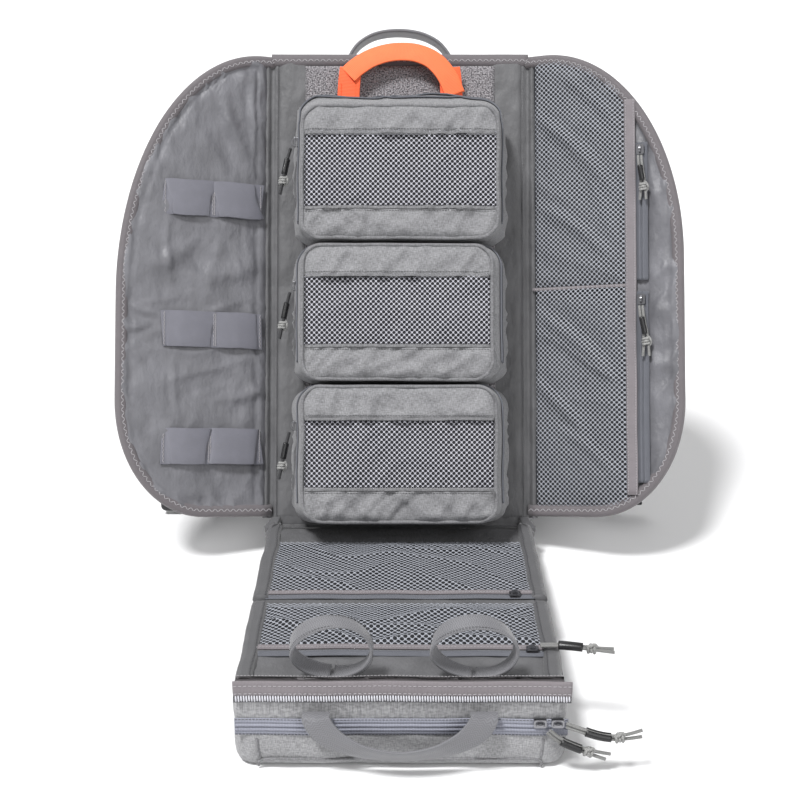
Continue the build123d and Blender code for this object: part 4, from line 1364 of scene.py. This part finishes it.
def make_admin_cover():
    """The pocket's zip-open outer half: bottom and low walls, softly rounded underneath."""
    loop = rounded_loop(*POCKET_HALF, 16.0)
    round_off = 9.0
    levels = [(z, 0.0) for z in (ADMIN_SPLIT, 41, 38, 34, 30, 26, 22, 18, 14, 11, 9)]
    for turn in (30, 60, 90):
        levels.append((round_off * (1 - math.sin(math.radians(turn))),
                       round_off * (1 - math.cos(math.radians(turn)))))
    rows = []
    for z, sink in levels:
        row = []
        for x, y, way in loop:
            out = cover_push(x, y, z) - sink
            row.append(Vector((x + way[0] * out, y + way[1] * out, z)))
        rows.append(moved(row, 0, POCKET_MIDDLE, 0))
    shape = Shape().grid(rows[::-1], True)
    shape.grid(cap_rows(rows[-1], 8, lambda x, y, s: 0.15)[::-1], True)
    cover = shape.make("admin_shell", GROUND, "admin_cover", "heather", HEATHER_PAINTED_LIGHT, solid=1.6,
                       lining=LINING_PAINTED_SHADE, turn=False)
    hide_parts("admin_cover")
    piping = Shape()
    near = -POCKET_NEAR - 1.4
    turn = [(-122, near, 3.0), (-121, near - 1.0, 9.0), (-112, near - 1.2, 11.0)]
    middle = [(x, near - 1.4 - wall_wave(x, 11), 11 + 0.5 * swell(x, 0, 128, 40))
              for x in spread(-104, 104, 18)]
    route = turn + middle + [(-x, y, z) for x, y, z in reversed(turn)]
    piping.sweep(bent(route, 120), (0, -1, 0.2), round_section(1.2, 8))
    for side in (-1, 1):
        piping.sweep(bent([(side * 121, near - 0.8, 11), (side * 122, near - 1.2, 20),
                           (side * 122.5, near - 1.2, 32)], 12), (0, -1, 0),
                     round_section(1.3, 8))
    piping.make("admin_piping", GROUND, "admin_cover", "heather", HEATHER_PAINTED_SHADE)


def cover_push(x, y, z):
    """How far the admin pocket's wall bellies out at a place on it."""
    near = 1.0 if y < -POCKET_HALF[1] * 0.7 else 0.6
    belly = 1.7 * math.sin(math.pi * min(1.0, z / ADMIN_SPLIT))
    rough = 1.5 * swell(x, z, 131, 34) + 1.5 * creases(x + y, z, 132, 26, 2.6, 20, 2.6)
    return near * (belly + rough * ease(min(z, ADMIN_SPLIT - z), 10.0))


def make_admin_frame():
    """The pocket's upper half, between its zipper and the front panel."""
    loop = rounded_loop(*POCKET_HALF, 10.0)
    rows = []
    for share in (0.0, 0.15, 0.3, 0.45, 0.6, 0.75, 0.9, 1.0):
        row = []
        for x, y, way in loop:
            low, high = ADMIN_SPLIT + 0.4, under_flap(-(y + POCKET_MIDDLE)) - 0.2
            z = low + (high - low) * share
            out = 0.8 * math.sin(math.pi * share) + 0.7 * swell(x + y, z, 134, 22) * (
                ease(share, 0.3) * ease(1 - share, 0.3))
            row.append(Vector((x + way[0] * out, y + POCKET_MIDDLE + way[1] * out, z)))
        rows.append(row)
    made = Shape().grid(rows, True).make("admin_walls", GROUND, "front", "heather", HEATHER_PAINTED_LIGHT,
                                         solid=1.4, lining=LINING_PAINTED_SHADE, turn=False)
    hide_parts("admin_frame")


def make_grab_handle():
    """Webbing handle drooping over the near wall: twisted legs, broad middle."""
    half = [(-71, 60.5, 4.4), (-71, 60.2, 9.5), (-70, 57.5, 13.8), (-64, 48, 15.2),
            (-53, 38.5, 15.8), (-32, 29, 16.6)]
    path = bent(half + [(0, 24, 17)] + [(-x, y, z) for x, y, z in reversed(half)], 100)
    ups = [Vector((0, -0.75 * (1 - (p.x / 71) ** 2) + 2.2 * max(0.0, 12.5 - p.z) / 8, 1))
           for p in path]
    shape = Shape().sweep(path, ups, flat_section(24.0, 2.3, 0.7))
    for side in (-1, 1):
        for rise in (59.0, 56.0):
            seam = [(side * 71 - 9, rise, 6.2), (side * 71 + 9, rise, 6.2)]
            shape.stitches(seam, OUT, 2.2, 1.9, 0.5, 0.35, 0.1, 1)
    handle = shape.make("grab_webbing", WALL, "grab_handle", "webbing", WEBBING, THREAD)
    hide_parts("grab_handle")


def make_fold(name, here, there):
    """Lining that bridges a fold. here and there give its points on either side."""
    rows = []
    for place in spread(-1.0, 1.0, 14):
        row = []
        for x in spread(-128, 128, 56):
            sink = 0.9 * math.exp(-(place / 0.4) ** 2) - 0.6 * swell(x, place * 8, 240, 22)
            side = here if place < 0 else there
            row.append(side(x, abs(place) * 10.0, 1.3 - sink) / MM)
        rows.append(row)
    made = Shape().grid(rows).make(name, Matrix.Identity(4), None, "heather", LINER_PLAIN)
    tuple(here(0, 8.0, 0))
    tuple(there(0, 8.0, 0))
    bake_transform(made)


make_fold("lower_fold", lambda x, d, z: world(BACK, (x, d, z)),
          lambda x, d, z: world(FRONT, (x, -d, z)))
make_fold("front_fold_strip",
          lambda x, d, z: world(FRONT, (x, -GUSSET_END + d, z)),
          lambda x, d, z: world(FRONT, (x, -GUSSET_END - d, z)))
make_flap("gusset_shell", "gusset", "bottom_gusset", 3.4, 193.6)
make_flap("front_shell", "front", "front_panel", 194.4, 363.0)
make_flap_rolls("gusset_rolls", "gusset", 9.0, 188.0, 141)
make_flap_rolls("front_rolls", "front", 200.0, 352.0, 143)
make_flap_mesh("gusset_mesh_pocket", "gusset", "gusset_mesh", gusset_mesh_height, 53.0, 181.0)
make_flap_mesh("front_mesh_pocket", "front", "front_mesh", front_mesh_height, 200.0, 291.0)
make_flap_zipper("far", "gusset", "gusset_zipper", (174.0, 181.0), (180.6, 189.4), 151)
make_flap_zipper("near", "front", "front_zipper", (288.0, 296.0), (295.5, 307.0), 153)
for _index, _middle in enumerate(RING_MIDDLES):
    make_ring(_index, _middle)
make_front_edge()
make_wall_band()
half_zipper("admin_zipper_upper", "front", 1)
half_zipper("admin_zipper_lower", "admin_cover", -1)
make_admin_cover()
make_admin_frame()
make_grab_handle()


# ---------------------------------------------------------------- pouches
def rounded_plan(half_x, half_y, radius, across, up):
    """Rows of (x, y) that fill a rounded rectangle."""
    rows = []
    for y in spread(-half_y, half_y, up):
        row = []
        for x in spread(-half_x, half_x, across):
            a = (abs(x) - half_x + radius) / radius
            b = (abs(y) - half_y + radius) / radius
            if a > 0 and b > 0:
                p = half_x - radius + radius * a * math.sqrt(1 - b * b / 2)
                q = half_y - radius + radius * b * math.sqrt(1 - a * a / 2)
                row.append((math.copysign(p, x), math.copysign(q, y)))
            else:
                row.append((x, y))
        rows.append(row)
    return rows


def round_the(plan):
    """The plan's edge points, anticlockwise from its lower left corner."""
    return (list(plan[0]) + [row[-1] for row in plan[1:]] + list(reversed(plan[-1][:-1]))
            + [row[0] for row in reversed(plan[1:-1])])


POUCH_SPLIT, POUCH_FRONT, POUCH_BACK = 58.0, 79.0, 2.2
POUCH_FACE = ((101.5, 69.0), (98.0, 69.5), (99.5, 69.5))
POUCH_SHIFT = (0.0, -3.0, -1.0)
WINDOWS = ((-38.0, 39.0), (-35.0, 37.0), (-36.0, 35.0))
WINDOW_PITCH, WINDOW_HOLE = 5.3, 3.6
POUCH_TAPE_FOOT, POUCH_TAPE_WIDTH = -52, 6.5
POUCH_HALF = (106.5, 71.3)
POUCH_COLUMNS, POUCH_ROWS = 64, 44


def pouch_plan(index, depth):
    """A pouch's outline and filling at a depth, its middle at (0, 0)."""
    face_x, face_y = POUCH_FACE[index]
    share = min(1.0, max(0.0, (POUCH_FRONT - depth) / 24.0))
    grow = 1 - (1 - share) ** 2
    half_x = face_x + (POUCH_HALF[0] - face_x) * grow
    half_y = face_y + (POUCH_HALF[1] - face_y) * grow
    shift = POUCH_SHIFT[index] * (1 - share)
    rows = rounded_plan(half_x, half_y, 19.0 + 4 * grow, POUCH_COLUMNS, POUCH_ROWS)
    out = []
    for row in rows:
        line = []
        for x, y in row:
            edge_x, edge_y = abs(x) / half_x, abs(y) / half_y
            x2 = x + shift + 1.1 * swell(y, depth * 0.5, 160 + index, 40) * edge_x
            y2 = y + 1.1 * swell(x, depth * 0.5, 170 + index, 45) * edge_y
            if abs(x) > half_x * 0.8:
                bulge = math.sin(math.pi * min(1.0, depth / 50.0)) ** 1.2
                x2 += math.copysign(1, x) * (6.0 * bulge + 3.0 * creases(
                    y, depth, 180 + index, 17, 2.6, 70, 2.4) * bulge)
            if y > half_y * 0.8 and index == 0:
                bow = math.sin(math.pi * min(1.0, max(0.0, depth / POUCH_FRONT))) ** 0.8
                y2 += bow * (12.0 + 6.0 * swell(x, 0, 187, 62)
                             + 3.4 * creases(x, depth, 188, 24, 3, 8, 2.4))
            line.append((x2, y2))
        out.append(line)
    return out


def pouch_depth(index, x, y):
    """Depth of a lid's front face."""
    face_x, face_y = POUCH_FACE[index]
    low, high = WINDOWS[index]
    round_over = max(0.0, 1 - (x / face_x) ** 2) * max(0.0, 1 - (y / face_y) ** 2)
    z = 75.6 + 4.2 * round_over ** 0.5
    edge = min(face_x - abs(x), face_y - abs(y))
    slant = 24 if x * (y - 10) > 0 else -24
    band = 1.0 if y > high or y < low else 0.0
    z += band * 1.6 * creases(x, y, 190 + index, 15, 3.4, slant, 2.2) * ease(edge, 9.0)
    for turn in (52, -52):
        z += band * 4.4 * creases(x, y, 230 + index + turn, 21, 3.0, turn, 1.7) * ease(edge, 7.0)
    z += (1 - band) * (2.0 * swell(x, y, 194 + index, 34)
                       + 1.6 * creases(x, y, 197 + index, 30, 2.5, 40, 2.0)) * ease(edge, 12.0)
    return z


def zipper_loop(shape, index, depth, part=0):
    """Zipper tape up the right side, over the top and down the left side at a depth."""
    path = [Vector((x, y, depth)) for x, y in round_the(pouch_plan(index, depth))
            if y > POUCH_TAPE_FOOT]
    middle = Vector((0, 8, depth))
    outward = []
    for i, p in enumerate(path):
        before, after = path[max(i - 1, 0)], path[min(i + 1, len(path) - 1)]
        way = (after - before).normalized()
        out = Vector((way.y, -way.x, 0))
        outward.append(out if out.dot(p - middle) > 0 else -out)
    path = [p + o * 0.7 for p, o in zip(path, outward)]
    shape.sweep(path, outward, flat_section(POUCH_TAPE_WIDTH, 1.6), False, part)


def make_pouch_body(index, name, place):
    """Back face, walls up to the zipper and the zipper's lower tape."""
    shape = Shape()
    floor = pouch_plan(index, POUCH_BACK)
    shape.grid([[Vector((x, y, POUCH_BACK)) for x, y in reversed(row)] for row in floor])
    walls = []
    for depth in spread(POUCH_BACK, POUCH_SPLIT - 0.6, 14):
        walls.append([Vector((x, y, depth)) for x, y in round_the(pouch_plan(index, depth))])
    shape.grid(walls, True)
    body = shape.make(f"pouch_body_{name}", place, f"pouch_{name}", "heather", HEATHER,
                      solid=1.2, lining=LINING_PAINTED_SHADE, turn=False)
    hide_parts(f"pouch_{name}")
    tape = Shape()
    zipper_loop(tape, index, POUCH_SPLIT - 4.6)
    tape.make(f"pouch_tape_{name}", place, f"pouch_{name}", "zipper", ZIP_TAPE)


def make_pouch_lid(index, name, place):
    """Front face with painted shade in its window, a near-black patch standing in for the shadowy
    inside of the pouch, and the short rim down to the zipper. Returns the face's edge points."""
    lid = Shape()
    low, high = WINDOWS[index]
    face = pouch_plan(index, POUCH_FRONT)
    rows = [[Vector((x, y, pouch_depth(index, x, y))) for x, y in row] for row in face]
    cloth = [[(x, y) for x, y in row] for row in face]

    def in_window(i, j):
        return low < (face[i][j][1] + face[i + 1][j][1]) / 2 < high

    lid.grid(rows, False, 0, lambda i, j: not in_window(i, j), cloth)
    lid.grid(rows, False, 1, in_window, cloth)
    edge = round_the(rows)
    skirt = []
    for depth in (POUCH_SPLIT + 0.5, 63.0, 67.5, 72.0):
        skirt.append([Vector((x, y, depth)) for x, y in round_the(pouch_plan(index, depth))])
    skirt.append(edge)
    lid.grid(skirt, True)
    made = lid.make(f"pouch_face_{name}", place, f"pouch_lid_{name}", "heather", HEATHER,
                    WINDOW_SHADE, solid=1.1, lining=LINING_PAINTED_SHADE, turn=False)
    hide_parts(f"pouch_lid_{name}")
    return edge


def make_pouch_trim(index, name, place, edge):
    """The window's yarn, then the piping round the face, the window's hems and the upper tape."""
    low, high = WINDOWS[index]
    limit, shift = POUCH_FACE[index][0] - 2.0, POUCH_SHIFT[index]
    yarn = Shape()
    lattice(yarn, lambda x, y: pouch_depth(index, x, y) + 1.2,
            lambda x, y: abs(x - shift) < limit and low < y < high,
            ((shift - limit, low), (shift + limit, high)), WINDOW_PITCH, WINDOW_HOLE, 0.4)
    yarn.make(f"pouch_window_{name}", place, f"pouch_lid_{name}", "mesh", MESH_LIGHT)
    trim = Shape()
    trim.sweep(moved(edge, 0, 0, 0.9), OUT, round_section(2.0, 8), True)
    for level, sign in ((low, -1), (high, 1)):
        hem = [Vector((x, level + sign * 0.6 + 0.4 * swell(x, level, 205, 30),
                       pouch_depth(index, x, level + sign) + 0.7))
               for x in spread(shift - limit + 1, shift + limit - 1, 60)]
        trim.sweep(hem, OUT, flat_section(3.0, 1.2))
        seam = [Vector((p.x, p.y + sign * 3.6, pouch_depth(index, p.x, p.y + sign * 3.6) + 0.2))
                for p in hem]
        trim.stitches(seam, OUT, 3.0, 2.2, 0.0, 0.3, 0.1, 1)
    zipper_loop(trim, index, POUCH_SPLIT + 4.2, 2)
    trim.make(f"pouch_trim_{name}", place, f"pouch_lid_{name}", "heather", HEATHER_PAINTED_SHADE,
              THREAD_DARK, ZIP_TAPE)


def make_pouch(index):
    name = POUCH_NAMES[index]
    place = BACK @ Matrix.Translation(Vector((0, POUCH_MIDDLES[index], 0)) * MM)
    make_pouch_body(index, name, place)
    edge = make_pouch_lid(index, name, place)
    make_pouch_trim(index, name, place, edge)


ORANGE_LEG = ((56, 441, 13.2), (56, 455, 13.6), (55.5, 468, 14.4), (54.5, 482, 15.2),
              (53, 494, 15.6))
ORANGE_ARCH = ((-56, 486, 16.8), (-46, 495, 17.0), (-32, 504, 16.4), (-15, 510, 15.6),
               (2, 512, 15), (19, 510, 15.6), (36, 502, 16.4), (50, 486, 17.0), (60, 464, 16.4))


def make_pouch_handle():
    """Two legs of webbing and the arch folded across their tops."""
    shape = Shape()
    for side in (-1, 1):
        leg = [(side * x, y, z) for x, y, z in ORANGE_LEG]
        shape.sweep(bent(leg, 24), (side * 0.1, 0, 1), flat_section(24.0, 2.2))
        for shift in (-8.5, 8.5):
            seam = [(side * 56 + shift, 442, 14.9), (side * 56 + shift * 0.9, 478, 16.6)]
            shape.stitches(seam, OUT, 2.6, 1.9, 0.0, 0.3, 0.1, 1)
    # the arch takes the lighter orange copy, painted light where the fold catches the light
    shape.sweep(bent(ORANGE_ARCH, 80), (0, 0.3, 1), flat_section(22.0, 2.4), False, 2)
    handle = shape.make("orange_webbing", BACK, "pouch_handle", "orange_webbing", ORANGE,
                        ORANGE_THREAD, ORANGE_PAINTED_LIGHT)
    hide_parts("pouch_handle")


CARRY_ARCH = ((-57, 512), (-53, 522), (-44, 533), (-27, 542.5), (-3, 546), (22, 543), (41, 534),
              (52, 522), (57, 512))
CARRY_DEPTH = -30.5


def make_carry_handle():
    """The arch of webbing above the top edge and the folds it is sewn down with."""
    path = bent([(x, y, CARRY_DEPTH) for x, y in CARRY_ARCH], 80)
    outward = [Vector((p.x * 0.9, p.y - 490, 0)).normalized() for p in path]
    shape = Shape().sweep(path, outward, flat_section(24.5, 3.6, 0.8, 0.3))
    for shift in (-8.5, 8.5):
        shape.stitches([p + o * 2.0 + Vector((0, 0, shift)) for p, o in zip(path, outward)],
                       (0, 1, 0), 3.0, 2.2, 0.0, 0.32, 0.1, 1)
    made = shape.make("carry_webbing", BACK, "carry_handle", "webbing", WEBBING, THREAD)
    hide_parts("carry_handle")
    roots = Shape()
    for side in (-1, 1):
        x = side * 60
        roots.sweep([(x, 493.5, -17.8), (x, 504, -18.2), (x, 513.5, -17.8)], IN,
                    flat_section(25.0, 2.6))
        corners = [(x - 10, 495.5), (x + 10, 495.5), (x + 10, 510.5), (x - 10, 510.5)]
        for order in ((0, 1, 2, 3, 0), (0, 2), (1, 3)):
            line = [(*corners[k], -19.6) for k in order]
            roots.stitches(line, IN, 2.4, 1.9, 0, 0.34, 0, 1)
    made = roots.make("carry_roots", BACK, "back", "webbing", WEBBING, THREAD)
    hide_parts("handle_anchors")


def make_corner_tabs():
    """Folded ends of binding and a short webbing tab at each lower corner."""
    for side in (-1, 1):
        shape = Shape()
        for step in range(3):
            x = side * (133 + 3.0 * step)
            fold = [(x, 8 - 3 * step, 2 + step), (x + side * 2, 2 - 2 * step, 7 + step),
                    (x + side * 1, -7, 8 - step), (x - side * 5, -12 - step, 3)]
            shape.sweep(bent(fold, 18), (side * 0.5, 0.2, 1), flat_section(11 - step, 3.4, 0.9))
        tab = [(side * 134, -2, 8), (side * 139, -4, 16), (side * 137, -11, 20),
               (side * 132, -13, 13), (side * 130, -10, 7)]
        shape.sweep(bent(tab, 30), (side, 0.4, 0.6), flat_section(13.0, 2.0), False, 1)
        shape.make(f"corner_tab_{(side + 1) // 2}", BACK, "back", "webbing", BINDING_DARK,
                   WEBBING_DARK)


for _index in range(3):
    make_pouch(_index)
make_pouch_handle()
make_carry_handle()
make_corner_tabs()


# ---------------------------------------------------------------- harness
PUFF_PRESSURE, PUFF_FRAMES = 4.0, 20


def puff(made, cap):
    """Blows a closed pad up with cloth simulation. cap is the furthest a point may move, in mm."""
    scene = bpy.context.scene
    cloth = made.modifiers.new("puff", "CLOTH")
    cloth.settings.quality = 5
    cloth.settings.mass = 0.25
    cloth.settings.tension_stiffness = cloth.settings.compression_stiffness = 12
    cloth.settings.bending_stiffness = 0.6
    cloth.settings.use_pressure = True
    cloth.settings.uniform_pressure_force = PUFF_PRESSURE
    cloth.settings.effector_weights.gravity = 0.0
    cloth.collision_settings.use_collision = False
    cloth.point_cache.frame_start, cloth.point_cache.frame_end = 1, PUFF_FRAMES
    for frame_number in range(1, PUFF_FRAMES + 1):
        scene.frame_set(frame_number)
    shaped = made.evaluated_get(bpy.context.evaluated_depsgraph_get())
    moved = [v.co.copy() for v in shaped.data.vertices]
    made.modifiers.remove(cloth)
    scene.frame_set(1)
    for vertex, place in zip(made.data.vertices, moved):
        step = place - vertex.co
        if step.length > cap * MM:
            step *= cap * MM / step.length
        vertex.co += step
    finer = made.modifiers.new("finer", "SUBSURF")
    finer.levels = finer.render_levels = 1


def make_pad(name, place, body, node, plan, near, far, cap):
    """A padded panel between two depths, spacer mesh on its far side, piping round its middle."""
    shape = Shape()
    slab(shape, plan, lambda x, y, d: near, lambda x, y, d: far + 1.3 * swell(x, y, 210, 40),
         None, (near + far) / 2, 10.0)
    pad = shape.make(name, place, body, "padding", PAD_SHELL, SPACER)
    puff(pad, cap)
    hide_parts(node)
    edge = [Vector((x, y, (near + far) / 2)) for x, y in round_the(plan)]
    trim = Shape().sweep(edge, OUT, round_section(1.8, 8), True)
    trim.make(name + "_piping", place, body, "padding", BINDING_DARK)


def make_back_pads():
    """The two long pads against the wearer's back and the lumbar cushion under them."""
    for side in (-1, 1):
        plan = [[(x + side * 62, y + 295) for x, y in row]
                for row in rounded_plan(42.5, 163.5, 23.0, 18, 66)]
        make_pad(f"back_pad_{(side + 1) // 2}", BACK, "back", "back_pads", plan, -17.2, -31.4,
                 3.0)
    plan = [[(x, y + 47.5) for x, y in row] for row in rounded_plan(78.5, 61.0, 22.0, 34, 26)]
    make_pad("lumbar_cushion", BACK, "back", "lumbar_pad", plan, -17.2, -41.5, 4.0)


STRAP_INNER = ((30, 470), (42, 380), (58, 280), (70, 165))
STRAP_OUTER = ((92, 470), (106, 380), (118, 280), (110, 165))
STRAP_STEPS = 66
STRAP_TAIL = ((92, 140, -39.0), (97, 118, -35.5), (105, 92, -28.5), (112, 72, -21.5),
              (116, 62, -18.6))


def make_shoulder_straps():
    """Each strap's pad, the ribbon sewn along it and the webbing tail below its ladder lock."""
    for side in (-1, 1):
        inner = bent([(side * x, y, 0) for x, y in STRAP_INNER], STRAP_STEPS)
        outer = bent([(side * x, y, 0) for x, y in STRAP_OUTER], STRAP_STEPS)
        plan = []
        for i in range(STRAP_STEPS, -1, -1):
            taper = ease(i, 4) * ease(STRAP_STEPS - i, 4)
            a, b = inner[i], outer[i]
            middle = (a + b) / 2
            a, b = middle.lerp(a, 0.72 + 0.27 * taper), middle.lerp(b, 0.72 + 0.27 * taper)
            plan.append([(a.lerp(b, k / 12).x, a.lerp(b, k / 12).y) for k in range(13)])
        make_pad(f"shoulder_strap_{(side + 1) // 2}", BACK, "back", "shoulder_straps", plan,
                 -35.0, -46.2, 2.0)
        ribbon = Shape()
        line = [Vector(((inner[i].x + outer[i].x) / 2, (inner[i].y + outer[i].y) / 2, -48.6))
                for i in range(4, STRAP_STEPS - 2)]
        ribbon.sweep(line, IN, flat_section(24.0, 1.8))
        for shift in (-9, 9):
            ribbon.stitches(moved(line, shift, 0, -1.0), IN, 3.0, 2.2, 0.0, 0.32, 0.1, 1)
        ribbon.make(f"strap_ribbon_{(side + 1) // 2}", BACK, "back", "webbing", WEBBING_DARK,
                    THREAD_DARK)
        tail = bent([(side * x, y, z) for x, y, z in STRAP_TAIL], 30)
        shape = Shape().sweep(tail, (0, 0.3, -1), flat_section(25.0, 2.3))
        made = shape.make(f"strap_tail_{(side + 1) // 2}", BACK, "back", "webbing", WEBBING_DARK)
        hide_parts("strap_webbing")


def make_chest_strap():
    """The two halves of the sternum strap, sewn down near their outer ends."""
    for node, body, start, end in (("sternum_webbing_left", "back", -84, -18),
                                   ("sternum_webbing_right", "sternum_plug", 84, 33)):
        points = [(x, 352 + 0.5 * swell(x, 0, 220, 20), -49.6 - 0.5 * math.sin(x / 9.0))
                  for x in spread(start, end, 24)]
        shape = Shape().sweep(points, IN, flat_section(20.0, 1.9))
        for step in (0, 5):
            x = start + math.copysign(4 + step, -start)
            shape.stitches([(x, 343.5, -51.0), (x, 360.5, -51.0)], IN, 2.2, 1.8, 0.5,
                           0.34, 0, 1)
        made = shape.make(node + "_ribbon", BACK, body, "webbing", WEBBING_DARK, THREAD)
        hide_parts(node)


BELT_LENGTH, BELT_HEIGHT = 112.0, 86.0
BELT_CURVE = ((84, 61), (108, 71), (130, 88), (144, 112), (150, 142))
BELT_RIBBON = ((154, 125), (176, 119), (196, 111.5), (214, 102), (229, 92.8))
BELT_RIBBON_HEIGHT = 22.5


def make_hip_belt(side, body, node):
    """A padded wing standing on the ground, made flat and bent to its curve."""
    length, height = BELT_LENGTH, BELT_HEIGHT
    plan = [[(x + length / 2, y + height / 2 + 0.9) for x, y in row]
            for row in rounded_plan(length / 2 - 1.0, height / 2 - 1.0, 16.0, 26, 20)]
    steps = evenly(bent([(side * x, y, 0) for x, y in BELT_CURVE], 60), 1.0)
    total = running(steps)[-1]

    def wrap(point):
        place = min(len(steps) - 2, max(0, int(point.x / length * (len(steps) - 1))))
        way = (steps[place + 1] - steps[place]).normalized()
        share = point.x / length * (len(steps) - 1) - place
        base = steps[place] + way * share * total / (len(steps) - 1)
        return base + way.cross(Vector((0, 0, side))) * point.z + Vector((0, 0, point.y))

    shape = Shape()
    slab(shape, plan, lambda x, y, d: 4.6, lambda x, y, d: -4.6, None, 0.0, 10.0)
    shape.points = [wrap(p) for p in shape.points]
    belt = shape.make(f"{node}_pad", GROUND, body, "padding", PAD_SHELL, SPACER)
    puff(belt, 2.4)
    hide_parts(node)
    trim = Shape()
    path = [wrap(Vector((x, y, 0))) for x, y in round_the(plan)]
    trim.sweep(path, (0.3, 0.4, 1), round_section(1.7, 8), True)
    trim.make(f"{node}_piping", GROUND, body, "padding", BINDING_DARK)
    webbing = Shape()
    line = bent([(side * x, y, BELT_RIBBON_HEIGHT) for x, y in BELT_RIBBON], 40)
    ups = []
    for i, p in enumerate(line):
        way = (line[min(i + 1, 40)] - line[max(i - 1, 0)]).normalized()
        ups.append(way.cross(Vector((0, 0, side))))
    webbing.sweep(line, ups, flat_section(25.0, 2.3))
    made = webbing.make(f"{node}_ribbon", GROUND, body, "webbing", WEBBING_DARK)
    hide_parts(node.replace("belt", "webbing"))


def make_hip_link(side, body):
    """Padded cloth that joins the lumbar cushion's side to the root of a belt wing."""
    rows = []
    for z in spread(12, 76, 24):
        near = Vector((side * 76.0, (z - 22.0) * 0.4633 / 0.8862 + 29.0, z))
        far = Vector((side * 89.0, 64.5, z))
        row = []
        for place in spread(0.0, 1.0, 14):
            point = near.lerp(far, place)
            bulge = 3.0 * math.sin(place * math.pi) + 0.5 * swell(place * 20, z, 90 + side, 14)
            row.append(point + Vector((side * 0.6, 0.8, 0)) * bulge)
        rows.append(row)
    shape = Shape().grid(facing(rows, side))
    link = shape.make(f"{body}_link", GROUND, None, "padding", PAD_SHELL, solid=4.0)
    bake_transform(link)


# ---------------------------------------------------------------- parts kept from the CAD
KEPT = {"slider": METAL, "socket": BUCKLE, "plug": BUCKLE, "ladder_locks": BUCKLE,
        "frame_sheet": PANEL_PLASTIC}


def paint_kept():
    """Gives every CAD part that stays in the picture its own finish."""
    for name, node in frame["nodes"].items():
        for part, paint in KEPT.items():
            if part in name:
                node.data.materials.clear()
                node.data.materials.append(paint)


make_back_pads()
make_shoulder_straps()
make_chest_strap()
for _side, _word in ((-1, "left"), (1, "right")):
    make_hip_belt(_side, f"hip_{_word}", f"hip_belt_{_word}")
    make_hip_link(_side, f"hip_{_word}")
paint_kept()
